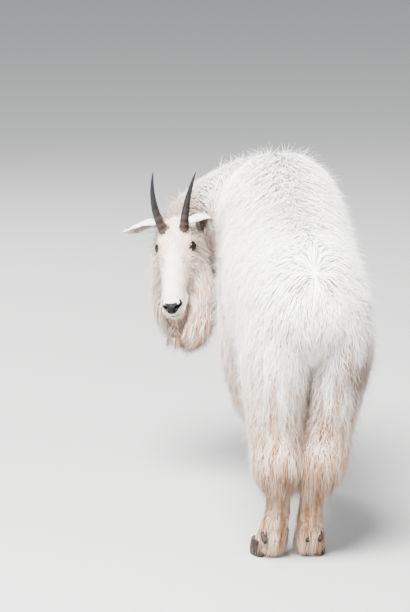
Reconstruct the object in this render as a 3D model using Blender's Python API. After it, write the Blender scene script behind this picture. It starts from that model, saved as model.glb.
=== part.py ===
"""A standing mountain goat, life size, with its head turned back over its left shoulder.

Metres, +Z up. The goat faces +Y and its left side is towards -X. The origin is the middle
of the whole figure's box, on the floor. The body is described by tables of bare skin
measurements, and the coat stands on the skin by the depths that the tables give. A coat
node is a core that reaches part of the way to the hair tips, with flat tapered locks on it.
"""

import math
import random

import bmesh
import bpy
from mathutils import Matrix, Vector

# Driving sizes
GAP = 0.0003  # clearance between neighbouring pieces
LOCK_GROW = 0.0012  # more for the thin edges of locks
CLOSE = 0.000004  # points nearer than this become one
CORNER_SPREAD = 1.6  # a point at a corner moves this much further than its faces
CORE_SHARE = 0.45  # how far the core reaches from the skin to the hair tips
LOCK_SINK = 0.012  # how deep a lock's root lies in the core
LOCK_STEPS = 3
LOCK_SPACING = 0.148  # between neighbouring locks' roots on the body
SHARP_ANGLE = 50.0  # degrees between faces
CURL = 22.0  # degrees that a lock may bend sideways over its length
WHORL = Vector((0.005, -0.545, 0.850))  # the hair of the rump spreads from here
FACE_COAT = 0.005  # short hair on the face
CHEEK_COAT = 0.016  # longer hair on the back of the cheeks and the throat
SHANK_COAT = 0.012  # short hair on the lower legs
HEAD_PLACE = Vector((-0.297, 0.470, 0.769))  # between the horns, on the brow
HEAD_YAW, HEAD_PITCH, HEAD_ROLL = 168.0, 40.0, 8.7  # degrees
HORN_LENGTH = 0.187
HORN_RADIUS = 0.0170
HORN_RINGS = 5
HORN_ROOT = Vector((0.0275, 0.014, 0.020))  # in the head's frame, right horn
HORN_LEAN, HORN_BEND = 7.0, 44.0  # degrees back from the brow at the root, and more by the tip
HORN_FLARE = {"right": (0.29, -0.50), "left": (0.22, 0.26)}  # lean outwards, and its change
EYE_RADIUS = 0.0155
EYE_PLACE = Vector((0.0475, 0.052, -0.0235))  # in the head's frame, right eye
EYE_LOOK = Vector((0.80, 0.26, 0.54)).normalized()
EAR_LENGTH = 0.125
EAR_WIDTH = 0.058
EAR_AHEAD = {"right": Vector((1.0, 0.0, -0.10)), "left": Vector((-0.66, -0.52, -0.54))}
EAR_OPENING = {"right": Vector((0.05, 0.95, -0.30)), "left": Vector((-0.35, 0.85, -0.40))}
SEED = 3

WHITE_COAT = (0.86, 0.83, 0.78)
CREAM_COAT = (0.78, 0.71, 0.62)
HORN_GREY = (0.045, 0.042, 0.045)
HOOF_GREY = (0.060, 0.052, 0.045)
EYE_BROWN = (0.020, 0.012, 0.010)

# Torso at the skin: y, top, bottom, half width, then coat depth on top, side and bottom
TORSO = [
    (0.530, 0.745, 0.700, 0.020, 0.030, 0.030, 0.030),
    (0.515, 0.805, 0.630, 0.066, 0.045, 0.040, 0.050),
    (0.470, 0.875, 0.555, 0.100, 0.072, 0.046, 0.070),
    (0.400, 0.932, 0.505, 0.122, 0.088, 0.050, 0.085),
    (0.300, 0.961, 0.480, 0.134, 0.096, 0.050, 0.090),
    (0.170, 0.948, 0.475, 0.139, 0.090, 0.053, 0.095),
    (0.020, 0.912, 0.480, 0.144, 0.070, 0.056, 0.100),
    (-0.130, 0.886, 0.498, 0.142, 0.055, 0.054, 0.095),
    (-0.270, 0.874, 0.525, 0.134, 0.050, 0.050, 0.085),
    (-0.390, 0.850, 0.560, 0.119, 0.048, 0.048, 0.070),
    (-0.465, 0.812, 0.595, 0.095, 0.046, 0.046, 0.050),
    (-0.512, 0.765, 0.640, 0.060, 0.042, 0.042, 0.044),
    (-0.530, 0.715, 0.680, 0.018, 0.034, 0.034, 0.036),
]
TORSO_WIDEST = 0.44  # height of the widest level, as a share from bottom to top

# Neck at the skin: x, y, z of its middle, half width, half height, then side and top coat
NECK = [
    (0.000, 0.300, 0.784, 0.100, 0.149, 0.045, 0.084),
    (-0.006, 0.430, 0.790, 0.098, 0.147, 0.045, 0.086),
    (-0.055, 0.530, 0.778, 0.088, 0.136, 0.045, 0.084),
    (-0.135, 0.588, 0.755, 0.078, 0.123, 0.042, 0.080),
    (-0.215, 0.600, 0.730, 0.068, 0.108, 0.038, 0.066),
    (-0.270, 0.565, 0.712, 0.060, 0.094, 0.032, 0.042),
    (-0.288, 0.505, 0.708, 0.052, 0.080, 0.022, 0.022),
]

# Leg shapes at the skin: height, back, front, half width, then coat depth.
# The feet stand apart as the side's own line of middles says.
HIND_UPPER = [
    (0.760, -0.455, -0.240, 0.050, 0.028),
    (0.700, -0.490, -0.195, 0.068, 0.034),
    (0.620, -0.502, -0.172, 0.070, 0.038),
    (0.540, -0.502, -0.175, 0.064, 0.042),
    (0.470, -0.494, -0.205, 0.054, 0.044),
    (0.400, -0.482, -0.275, 0.042, 0.048),
    (0.335, -0.490, -0.350, 0.036, 0.054),
    (0.285, -0.500, -0.398, 0.032, 0.050),
    (0.245, -0.496, -0.414, 0.029, 0.034),
]
HIND_LOWER = [
    (0.320, -0.497, -0.370, 0.034, SHANK_COAT),
    (0.285, -0.506, -0.400, 0.033, SHANK_COAT),
    (0.245, -0.492, -0.418, 0.029, SHANK_COAT),
    (0.190, -0.476, -0.424, 0.025, SHANK_COAT),
    (0.135, -0.468, -0.418, 0.024, SHANK_COAT),
    (0.098, -0.470, -0.404, 0.028, SHANK_COAT),
    (0.068, -0.452, -0.388, 0.027, SHANK_COAT),
    (0.042, -0.442, -0.372, 0.030, SHANK_COAT),
    (0.026, -0.438, -0.366, 0.029, 0.010),
]
FORE_UPPER = [
    (0.800, 0.250, 0.430, 0.050, 0.030),
    (0.720, 0.215, 0.452, 0.060, 0.038),
    (0.620, 0.190, 0.440, 0.060, 0.046),
    (0.530, 0.172, 0.375, 0.053, 0.055),
    (0.450, 0.200, 0.342, 0.046, 0.058),
    (0.380, 0.236, 0.330, 0.039, 0.058),
    (0.320, 0.256, 0.330, 0.035, 0.050),
    (0.275, 0.262, 0.332, 0.034, 0.034),
]
FORE_LOWER = [
    (0.310, 0.258, 0.330, 0.036, SHANK_COAT),
    (0.270, 0.263, 0.335, 0.036, SHANK_COAT),
    (0.230, 0.272, 0.330, 0.031, SHANK_COAT),
    (0.180, 0.284, 0.326, 0.027, SHANK_COAT),
    (0.130, 0.286, 0.328, 0.026, SHANK_COAT),
    (0.096, 0.282, 0.338, 0.030, SHANK_COAT),
    (0.068, 0.298, 0.352, 0.028, SHANK_COAT),
    (0.042, 0.306, 0.368, 0.031, SHANK_COAT),
    (0.026, 0.310, 0.374, 0.030, 0.010),
]
# Middle line of each leg as height and x
LEG_LINES = {
    ("hind", "left"): [(0.76, -0.068), (0.60, -0.080), (0.45, -0.086), (0.34, -0.090),
                       (0.27, -0.089), (0.14, -0.090), (0.09, -0.098), (0.0, -0.117)],
    ("hind", "right"): [(0.76, 0.070), (0.60, 0.088), (0.45, 0.064), (0.34, 0.040),
                        (0.27, 0.024), (0.14, 0.002), (0.09, 0.002), (0.0, 0.010)],
    ("fore", "left"): [(0.80, -0.060), (0.62, -0.084), (0.50, -0.088), (0.40, -0.084),
                       (0.30, -0.060), (0.20, -0.040), (0.09, -0.026), (0.0, -0.021)],
    ("fore", "right"): [(0.80, 0.060), (0.62, 0.086), (0.50, 0.090), (0.40, 0.086),
                        (0.30, 0.080), (0.20, 0.074), (0.09, 0.069), (0.0, 0.066)],
}
TOE_OUT = {("hind", "left"): 10.0, ("hind", "right"): -3.0,
           ("fore", "left"): 5.0, ("fore", "right"): -5.0}  # degrees, towards -X

HOOF_LENGTH, HOOF_WIDTH, HOOF_HEIGHT = 0.086, 0.034, 0.046
HOOF_SIDES = 8
HOOF_SPLIT = 0.006  # space between the two toes
DEWCLAW_LENGTH, DEWCLAW_RADIUS = 0.026, 0.0095
DEWCLAW_HEIGHT = 0.072

# Skull and muzzle in the head's frame (y to the nose, z out of the brow):
# y, top, widest level, bottom, half width
SKULL = [
    (-0.062, -0.030, -0.040, -0.052, 0.014),
    (-0.050, -0.006, -0.040, -0.084, 0.036),
    (-0.025, 0.012, -0.038, -0.104, 0.050),
    (0.005, 0.018, -0.034, -0.116, 0.0555),
    (0.040, 0.014, -0.030, -0.118, 0.0565),
    (0.070, 0.005, -0.038, -0.112, 0.0525),
    (0.105, -0.007, -0.050, -0.107, 0.0445),
    (0.145, -0.015, -0.057, -0.104, 0.0385),
    (0.185, -0.021, -0.064, -0.102, 0.0355),
    (0.220, -0.026, -0.068, -0.101, 0.0350),
    (0.245, -0.034, -0.070, -0.099, 0.0320),
    (0.262, -0.046, -0.072, -0.094, 0.0240),
    (0.271, -0.060, -0.073, -0.085, 0.0110),
]
JAW = [
    (0.010, -0.080, -0.100, -0.122, 0.030),
    (0.060, -0.085, -0.104, -0.128, 0.034),
    (0.120, -0.090, -0.108, -0.128, 0.029),
    (0.180, -0.096, -0.111, -0.129, 0.0255),
    (0.222, -0.098, -0.113, -0.131, 0.0250),
    (0.245, -0.100, -0.113, -0.127, 0.0210),
    (0.257, -0.106, -0.113, -0.120, 0.0110),
]
# Mouth line in the head's frame, from the middle of the front to the right corner
MOUTH = [(0.0, 0.270, -0.0985), (0.012, 0.262, -0.1005), (0.022, 0.246, -0.1010),
         (0.028, 0.228, -0.0985), (0.031, 0.210, -0.0945), (0.033, 0.196, -0.0910)]
MOUTH_GAP = 0.0016
NOSTRIL = Vector((0.0125, 0.270, -0.0610))
LID = 0.0032  # thickness of the lids over the eye
EYE_SLIT, EYE_OPEN = 0.0125, 0.0100  # half length and half height of the opening

# Beard at its roots, from the throat down: x, y, z of its middle, half width, half depth,
# then how far the hair tips stand beyond it
BEARD = [
    (-0.285, 0.505, 0.740, 0.040, 0.030, 0.030),
    (-0.284, 0.468, 0.680, 0.055, 0.038, 0.042),
    (-0.282, 0.438, 0.620, 0.058, 0.034, 0.046),
    (-0.280, 0.416, 0.575, 0.057, 0.028, 0.046),
    (-0.277, 0.396, 0.540, 0.048, 0.020, 0.042),
    (-0.270, 0.374, 0.512, 0.035, 0.012, 0.034),
    (-0.262, 0.352, 0.492, 0.018, 0.006, 0.018),
]

TAIL = [(-0.505, 0.800, 0.026, 0.020), (-0.530, 0.778, 0.023, 0.017),
        (-0.545, 0.745, 0.019, 0.013), (-0.551, 0.705, 0.014, 0.009),
        (-0.552, 0.665, 0.007, 0.005)]
TAIL_COAT = 0.014

SIDES = ("left", "right")
TOES = ("inner", "outer")
ROUND_LEG, ROUND_LOWER, ROUND_TORSO, ROUND_NECK, ROUND_HEAD = 9, 8, 16, 12, 18
UPPER_ROWS = {"hind": HIND_UPPER, "fore": FORE_UPPER}
LOWER_ROWS = {"hind": HIND_LOWER, "fore": FORE_LOWER}

# Where the locks grow, and how far their tips reach towards the full depth of the coat
SIDE_STAND, CREST_STAND, CREST_END = 0.80, 1.18, -0.05
CREST_ROWS = (0.14, 0.24, 0.34, 0.44)
LOCK_WIDTH, LOCK_THICK = 0.114, 0.017
TORSO_ROWS, TORSO_FIRST, TORSO_LAST = 10, 0.08, 0.90
NECK_STAND = 1.12
NECK_ROWS, NECK_ROUND = (0.40, 0.70), 5
LEG_ROWS = {"hind": (0.18, 0.40, 0.60, 0.74), "fore": (0.32, 0.54, 0.74)}
LEG_ROUND = {"hind": (5, 5, 4, 4), "fore": (5, 4, 4)}
BEARD_ROWS, BEARD_ROUND = (0.20, 0.46, 0.70), (6, 5, 4)
BEARD_TIP_X = -0.243
TAIL_ROWS = (0.16, 0.48, 0.72)


def clear_scene():
    for obj in list(bpy.data.objects):
        bpy.data.objects.remove(obj)


def material(name, colour, roughness, metallic=0.0):
    made = bpy.data.materials.new(name)
    made.use_nodes = True
    shader = made.node_tree.nodes["Principled BSDF"]
    shader.inputs["Base Color"].default_value = (*colour, 1.0)
    shader.inputs["Roughness"].default_value = roughness
    shader.inputs["Metallic"].default_value = metallic
    return made


def along(rows, share):
    """The row at a share from 0 to 1 of the way down a table, on a smooth curve."""
    at = min(max(share, 0.0), 1.0) * (len(rows) - 1)
    i = min(int(at), len(rows) - 2)
    f = at - i
    before, first = rows[max(i - 1, 0)], rows[i]
    second, after = rows[i + 1], rows[min(i + 2, len(rows) - 1)]
    return [
        0.5 * (2 * b + (c - a) * f + (2 * a - 5 * b + 4 * c - d) * f * f
               + (3 * b - a - 3 * c + d) * f ** 3)
        for a, b, c, d in zip(before, first, second, after)
    ]


def leg_middle(line, z):
    """x of a leg's middle line at a height, eased between its points."""
    for (high, x_high), (low, x_low) in zip(line, line[1:]):
        if z >= low:
            f = min(max((high - z) / (high - low), 0.0), 1.0)
            f = f * f * (3 - 2 * f) * 0.5 + f * 0.5
            return x_high + (x_low - x_high) * f
    return line[-1][1]


def oval(half_width, up, down, angle, power):
    """A point of a superellipse with its own half heights above and below."""
    c, s = math.cos(angle), math.sin(angle)
    k = (abs(c) ** power + abs(s) ** power) ** (-1 / power)
    return half_width * k * c, (up if s > 0 else down) * k * s


def coat_round(angle, top, side, bottom):
    """Coat depth round a section: side depth easing to top and bottom depth."""
    s = math.sin(angle)
    return side + (s * s) * ((top if s > 0 else bottom) - side)


# Surfaces: each gives the point at a share along, an angle round and a coat share
def torso_surface(share, angle, coat_share):
    y, top, bottom, half, coat_top, coat_side, coat_bottom = along(TORSO, share)
    middle = bottom + TORSO_WIDEST * (top - bottom)
    coat = coat_round(angle, coat_top, coat_side, coat_bottom) * coat_share
    x, z = oval(half + coat, top - middle + coat, middle - bottom + coat, angle, 2.25)
    end = 2 * share - 1
    y_out = math.copysign(max(0.0, abs(end) - 0.80) / 0.20, -end)
    return Vector((x, y + y_out * coat, middle + z))


def neck_middle(share):
    return Vector(along(NECK, share)[:3])


def neck_surface(share, angle, coat_share):
    x, y, z, half, high, coat_side, coat_top = along(NECK, share)
    step = 0.01
    ahead = neck_middle(min(share + step, 1.0)) - neck_middle(max(share - step, 0.0))
    ahead.z *= 0.3
    ahead.normalize()
    side = ahead.cross(Vector((0, 0, 1))).normalized()
    coat = coat_round(angle, coat_top, coat_side, coat_side) * coat_share
    out, up = oval(half + coat, high + coat, high + coat, angle, 2.1)
    return Vector((x, y, z)) + side * out + side.cross(ahead) * up


def leg_surface(rows, line):
    def surface(share, angle, coat_share):
        z, back, front, half, coat = along(rows, share)
        coat = coat * coat_share
        out, fore = oval(half + coat, (front - back) / 2 + coat,
                         (front - back) / 2 + coat, angle, 2.1)
        return Vector((leg_middle(line, z) + out, (front + back) / 2 + fore, z))
    return surface


def head_frame():
    turn = Matrix.Rotation(math.radians(HEAD_YAW), 4, "Z")
    turn = turn @ Matrix.Rotation(math.radians(-HEAD_PITCH), 4, "X")
    turn = turn @ Matrix.Rotation(math.radians(HEAD_ROLL), 4, "Y")
    return Matrix.Translation(HEAD_PLACE) @ turn


def skull_surface(share, angle, coat_share, rows=None):
    y, top, middle, bottom, half = along(rows or SKULL, share)
    rear = min(max((0.150 - y) / 0.100, 0.0), 1.0)
    low = min(max((0.35 - math.sin(angle)) / 0.80, 0.0), 1.0)
    coat = (FACE_COAT + CHEEK_COAT * rear * low) * coat_share
    x, z = oval(half + coat, top - middle + coat, middle - bottom + coat, angle, 2.2)
    y_out = max(0.0, share - 0.85) / 0.15 - max(0.0, 0.1 - share) / 0.1
    return Vector((x, y + y_out * coat, middle + z))


def beard_surface(share, angle, coat_share):
    x, y, z, half, deep, coat = along(BEARD, share)
    coat = coat * coat_share
    out, fore = oval(half + coat, deep + coat, deep + coat, angle, 2.0)
    return Vector((x + out, y + fore, z))


def tail_surface(share, angle, coat_share):
    y, z, half, deep = along(TAIL, share)
    coat = TAIL_COAT * coat_share
    x, out = oval(half + coat, deep + coat, deep + coat, angle, 2.0)
    tilt = math.radians(20 + 60 * (1 - share))
    return Vector((x, y - out * math.cos(tilt), z + out * math.sin(tilt) * 0.6))


# Mesh making
def mesh_object(name, points, faces):
    mesh = bpy.data.meshes.new(name)
    mesh.from_pydata([tuple(p) for p in points], [], faces)
    made = bpy.data.objects.new(name, mesh)
    bpy.context.scene.collection.objects.link(made)
    return made


def outward(obj):
    """Turns a closed mesh so that its faces point out."""
    shape = bmesh.new()
    shape.from_mesh(obj.data)
    bmesh.ops.recalc_face_normals(shape, faces=shape.faces)
    if shape.calc_volume(signed=True) < 0:
        bmesh.ops.reverse_faces(shape, faces=shape.faces)
    shape.to_mesh(obj.data)
    shape.free()
    return obj


def loft(name, rings, cupped=False):
    """One closed body through rings of points, with a fan on a middle point at each end.

    Cupped rings run out along one side and back along the other, and end in a strip.
    """
    count = len(rings[0])
    points = [p for ring in rings for p in ring]
    faces = []
    for i in range(len(rings) - 1):
        for j in range(count):
            a, b = i * count + j, i * count + (j + 1) % count
            faces += [(a, b, b + count), (a, b + count, a + count)]
    for ring, start in ((rings[0], 0), (rings[-1], (len(rings) - 1) * count)):
        if cupped:
            last = start + count - 1
            for j in range(count // 2 - 1):
                faces += [(start + j, start + j + 1, last - j - 1),
                          (start + j, last - j - 1, last - j)]
            continue
        points.append(sum(ring, Vector()) / count)
        end = len(points) - 1
        faces += [(start + j, start + (j + 1) % count, end) for j in range(count)]
    return outward(mesh_object(name, points, faces))


def surface_loft(name, surface, along_count, round_count, coat_share, **more):
    rings = [
        [surface(i / along_count, math.tau * j / round_count, coat_share, **more)
         for j in range(round_count)]
        for i in range(along_count + 1)
    ]
    return loft(name, rings)


def place(obj, matrix):
    obj.data.transform(matrix)
    return obj


def lock(form, grow=0.0):
    """A flat tapered lock of hair with a low crown, widest a third of the way along.

    A grown one stands out all round, to cut a neighbour with.
    """
    path, across, out, width, thick = form
    rings = []
    last = len(path) - 1
    ahead = (path[last] - path[last - 1]).normalized()
    for i in range(last):
        f = i / last
        half = 0.5 * width * (0.75 + 0.55 * f) * (1 - f ** 2.4) ** 0.7
        droop = out[i] * (0.22 * half + 0.6 * grow)
        half += 3 * grow
        start = path[i] - ahead * grow if i == 0 else path[i]
        rings.append([start - across[i] * half - droop,
                      start + across[i] * half - droop,
                      start + out[i] * (thick * (1 - 0.5 * f) + 2 * grow)])
    points = [p for ring in rings for p in ring] + [path[last] + ahead * (3 * grow)]
    faces = [(0, 1, 2)]
    for i in range(last - 1):
        for j in range(3):
            a, b = i * 3 + j, i * 3 + (j + 1) % 3
            faces += [(a, b, b + 3), (a, b + 3, a + 3)]
    top = (last - 1) * 3
    faces += [(top + j, top + (j + 1) % 3, len(points) - 1) for j in range(3)]
    return outward(mesh_object("lock", points, faces))


def travel(surface, share, angle, way, length):
    """Where a step along a surface leads, as nearly in the given direction as it allows."""
    e = 0.004
    e_share = e if share < 0.98 else -e
    here = surface(share, angle, 1.0)
    by_share = (surface(share + e_share, angle, 1.0) - here) / e_share
    by_angle = (surface(share, angle + e, 1.0) - here) / e
    a, b, c = by_share.dot(by_share), by_share.dot(by_angle), by_angle.dot(by_angle)
    r, t = by_share.dot(way), by_angle.dot(way)
    flat = max(a * c - b * b, 1e-9)
    d_share, d_angle = (c * r - b * t) / flat, (a * t - b * r) / flat
    step = (by_share * d_share + by_angle * d_angle).length
    scale = length / max(step, 0.35)
    return min(max(share + d_share * scale, 0.0), 1.0), angle + d_angle * scale


def lay_lock(surface, share, angle, lie, size, stand=1.0, hang=0.0):
    """A lock that starts in the core, follows the lie and rises to the hair tips."""
    length, width, thick = size
    curl = math.radians(random.uniform(-CURL, CURL))
    path, across, out = [], [], []
    beyond = Vector()
    for i in range(LOCK_STEPS + 1):
        f = i / LOCK_STEPS
        skin, tips = surface(share, angle, 0.0), surface(share, angle, 1.0)
        normal = (tips - skin).normalized()
        way = Matrix.Rotation(curl * f, 3, normal) @ lie(tips)
        point = skin.lerp(tips, CORE_SHARE + (stand - CORE_SHARE) * math.sin(1.45 * f))
        if i == 0:
            point -= normal * LOCK_SINK
        path.append(point + beyond + way * (hang * f * f))
        out.append(normal)
        step = length / LOCK_STEPS
        share, angle = travel(surface, share, angle, way, step)
        if share in (0.0, 1.0):
            beyond += way * (0.8 * step)
    for i in range(LOCK_STEPS + 1):
        ahead = path[min(i + 1, LOCK_STEPS)] - path[max(i - 1, 0)]
        side = ahead.cross(out[i]).normalized()
        if across and side.dot(across[-1]) < 0.3:
            side = across[-1]
        across.append(side)
        out[i] = side.cross(ahead).normalized()
    return path, across, out, width, thick


# Lie of the hair: the way that it points at a place
def torso_lie(p):
    side = max(-1.0, min(1.0, p.x / 0.12))
    way = Vector((0.30 * side, -0.62, -0.72))
    spread = p - WHORL
    near = max(0.0, 1 - spread.length / 0.34)
    away = spread.normalized() + Vector((0, 0, -0.35))
    front = max(0.0, min(1.0, (p.y - 0.42) / 0.10))
    way = way.lerp(Vector((0, 0, -1)), front)
    return way.lerp(away, near).normalized()


def neck_lie(p):
    shares = [i / 12 for i in range(13)]
    at = min(shares, key=lambda share: (neck_middle(share) - p).length)
    ahead = neck_middle(min(at + 0.05, 1.0)) - neck_middle(max(at - 0.05, 0.0))
    return (Vector((0, 0, -0.75)) - ahead.normalized() * 0.8).normalized()


def leg_lie(p):
    return Vector((0.0, -0.10, -1.0)).normalized()


def beard_lie(p):
    return Vector((0.20 + 0.8 * (BEARD_TIP_X - p.x), -0.42, -1.0)).normalized()


def tail_lie(p):
    return Vector((0.0, -0.05, -1.0)).normalized()


def in_leg(kind, side, p):
    """Whether a place is under the coat of an upper leg."""
    rows = UPPER_ROWS[kind]
    for (high, *first), (low, *second) in zip(rows, rows[1:]):
        if high >= p.z >= low:
            f = (high - p.z) / (high - low)
            back, front, half, coat = (a + (b - a) * f for a, b in zip(first, second))
            middle = leg_middle(LEG_LINES[kind, side], p.z)
            inside = abs(p.x - middle) < half + 0.8 * coat
            return inside and back - 0.5 * coat < p.y < front + 0.5 * coat
    return False


def in_neck(p):
    return min((neck_middle(i / 10) - p).length for i in range(11)) < 0.135


def torso_locks():
    made = []
    for i in range(TORSO_ROWS):
        share = TORSO_FIRST + (TORSO_LAST - TORSO_FIRST) * i / (TORSO_ROWS - 1)
        right, left = torso_surface(share, 0, 1.0), torso_surface(share, math.pi, 1.0)
        top = torso_surface(share, math.pi / 2, 1.0)
        bottom = torso_surface(share, -math.pi / 2, 1.0)
        girth = math.pi * ((right - left).length + (top - bottom).length) / 2
        count = max(5, round(girth / LOCK_SPACING))
        for j in range(count):
            angle = math.tau * (j + 0.5 * (i % 2) + random.uniform(-0.2, 0.2)) / count
            at = share + random.uniform(-0.012, 0.012)
            root = torso_surface(at, angle, 1.0)
            legs = any(in_leg(kind, side, root) for kind in UPPER_ROWS for side in SIDES)
            if legs or in_neck(root):
                continue
            up = math.sin(angle)
            length, hang, stand = 0.165, 0.0, SIDE_STAND
            if up > 0.72 and root.y > CREST_END:
                length, stand = 0.125, CREST_STAND
            elif up > 0.72:
                stand = 0.95
            if up < -0.55:
                length, hang = 0.13, 0.02
            length *= random.uniform(0.88, 1.12)
            size = (length, LOCK_WIDTH * random.uniform(0.85, 1.15), LOCK_THICK)
            made.append(lay_lock(torso_surface, at, angle, torso_lie, size, stand, hang))
    for i, share in enumerate(CREST_ROWS):
        for lean in (-0.17, 0.17):
            angle = math.pi / 2 + lean + 0.12 * (i % 2)
            size = (0.125 * random.uniform(0.9, 1.1), 0.8 * LOCK_WIDTH, LOCK_THICK)
            made.append(lay_lock(torso_surface, share, angle, torso_lie, size, CREST_STAND))
    return made


def neck_locks():
    made = []
    for i, share in enumerate(NECK_ROWS):
        count = NECK_ROUND
        for j in range(count):
            angle = math.tau * (j + 0.5 * (i % 2) + random.uniform(-0.15, 0.15)) / count
            stand = NECK_STAND if math.sin(angle) > 0.3 else SIDE_STAND
            size = (0.15 * random.uniform(0.9, 1.1), LOCK_WIDTH * 0.90, LOCK_THICK)
            made.append(lay_lock(neck_surface, share, angle, neck_lie, size, stand, 0.01))
    return made


def leg_locks(kind, side):
    made = []
    surface = leg_surface(UPPER_ROWS[kind], LEG_LINES[kind, side])
    for i, share in enumerate(LEG_ROWS[kind]):
        count = LEG_ROUND[kind][i]
        for j in range(count):
            angle = math.tau * (j + 0.5 * (i % 2) + random.uniform(-0.15, 0.15)) / count
            width = LOCK_WIDTH * (0.95 - 0.35 * share)
            size = (0.135 * random.uniform(0.9, 1.1), width, LOCK_THICK * 0.8)
            hang = 0.010
            made.append(lay_lock(surface, share, angle, leg_lie, size, 1.0, hang))
    return made


def beard_locks():
    made = []
    for i, share in enumerate(BEARD_ROWS):
        count = BEARD_ROUND[i]
        for j in range(count):
            angle = math.tau * (j + 0.5 * (i % 2) + random.uniform(-0.15, 0.15)) / count
            size = (0.100 * random.uniform(0.9, 1.1), 0.050, 0.012)
            made.append(lay_lock(beard_surface, share, angle, beard_lie, size, 1.0, 0.016))
    return made


def tail_locks():
    made = []
    for i, share in enumerate(TAIL_ROWS):
        for j in range(3 - i):
            angle = -math.pi / 2 + (j - 1 + 0.5 * i) * 1.3
            made.append(lay_lock(tail_surface, share, angle, tail_lie,
                                 (0.105, 0.040, 0.009), 1.1, 0.015))
    return made


# Joining and cutting
def boolean(obj, others, operation, largest=True):
    """Joins others to obj, or cuts them from it, and removes them."""
    group = bpy.data.collections.new("pieces")
    bpy.context.scene.collection.children.link(group)
    for other in others:
        bpy.context.scene.collection.objects.unlink(other)
        group.objects.link(other)
    change = obj.modifiers.new("change", "BOOLEAN")
    change.operation = operation
    change.solver = "MANIFOLD"
    change.operand_type = "COLLECTION"
    change.collection = group
    graph = bpy.context.evaluated_depsgraph_get()
    result = bpy.data.meshes.new_from_object(obj.evaluated_get(graph))
    obj.modifiers.remove(change)
    obj.data = result
    for other in others:
        bpy.data.objects.remove(other)
    bpy.data.collections.remove(group)
    return keep_largest(obj) if largest else obj


def grown(obj):
    """A copy that stands out by the clearance all round, to cut a neighbour with."""
    copy = bpy.data.objects.new("cutter", obj.data.copy())
    bpy.context.scene.collection.objects.link(copy)
    shape = bmesh.new()
    shape.from_mesh(copy.data)
    shape.normal_update()
    moved = [(v, v.co + v.normal * (GAP * CORNER_SPREAD)) for v in shape.verts]
    for v, place_to in moved:
        v.co = place_to
    shape.to_mesh(copy.data)
    shape.free()
    return copy


def keep_largest(obj):
    """Keeps the largest closed surface, and closes points that nearly coincide."""
    shape = bmesh.new()
    shape.from_mesh(obj.data)
    bmesh.ops.remove_doubles(shape, verts=shape.verts, dist=CLOSE)
    bmesh.ops.dissolve_degenerate(shape, edges=shape.edges, dist=CLOSE)
    bmesh.ops.triangulate(shape, faces=shape.faces)
    left = set(shape.faces)
    groups = []
    while left:
        todo = [left.pop()]
        group = []
        while todo:
            face = todo.pop()
            group.append(face)
            for edge in face.edges:
                for other in edge.link_faces:
                    if other in left:
                        left.remove(other)
                        todo.append(other)
        groups.append(group)
    def volume(group):
        total = 0.0
        for face in group:
            a, b, c = (v.co for v in face.verts)
            total += a.dot(b.cross(c)) / 6
        return total
    best = max(groups, key=volume)
    loose = [f for g in groups if g is not best for f in g]
    bmesh.ops.delete(shape, geom=loose, context="FACES")
    shape.to_mesh(obj.data)
    shape.free()
    return obj


def ball(name, centre, radius, segments=16, rings=10, turn=None):
    shape = bmesh.new()
    bmesh.ops.create_uvsphere(shape, u_segments=segments, v_segments=rings, radius=radius)
    mesh = bpy.data.meshes.new(name)
    shape.to_mesh(mesh)
    shape.free()
    made = bpy.data.objects.new(name, mesh)
    bpy.context.scene.collection.objects.link(made)
    if turn:
        mesh.transform(turn)
    mesh.transform(Matrix.Translation(centre))
    return made


def core(name, surface, along_count, round_count, share=CORE_SHARE):
    return surface_loft(name, surface, along_count, round_count, share)


def mirrored(point, sign):
    return Vector((point.x * sign, point.y, point.z))


# The pieces
class Coat:
    """A core and the forms of its locks, joined as a node or grown to cut a neighbour."""

    def __init__(self, bare, forms):
        self.bare = bare
        self.forms = forms

    def joined(self):
        return boolean(self.bare(), [lock(form) for form in self.forms], "UNION")

    def cutters(self):
        plain = [self.bare()] + [lock(form, LOCK_GROW) for form in self.forms]
        pieces = [self.joined()] + [grown(piece) for piece in plain]
        for piece in plain:
            bpy.data.objects.remove(piece)
        return pieces


def torso_coat():
    return Coat(lambda: core("torso", torso_surface, 14, ROUND_TORSO), torso_locks())


def neck_coat():
    return Coat(lambda: core("neck", neck_surface, 9, ROUND_NECK), neck_locks())


def tail_coat():
    return Coat(lambda: core("tail", tail_surface, 5, 8), tail_locks())


def leg_coat(kind, side):
    surface = leg_surface(UPPER_ROWS[kind], LEG_LINES[kind, side])
    name = f"{kind}leg_upper_{side}"
    return Coat(lambda: core(name, surface, 8, ROUND_LEG), leg_locks(kind, side))


def head_coat():
    """The skull with its face, the core of the beard and the beard's locks."""
    def bare():
        skull = make_skull()
        return boolean(skull, [core("beard", beard_surface, 7, 10)], "UNION")
    return Coat(bare, beard_locks())


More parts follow.
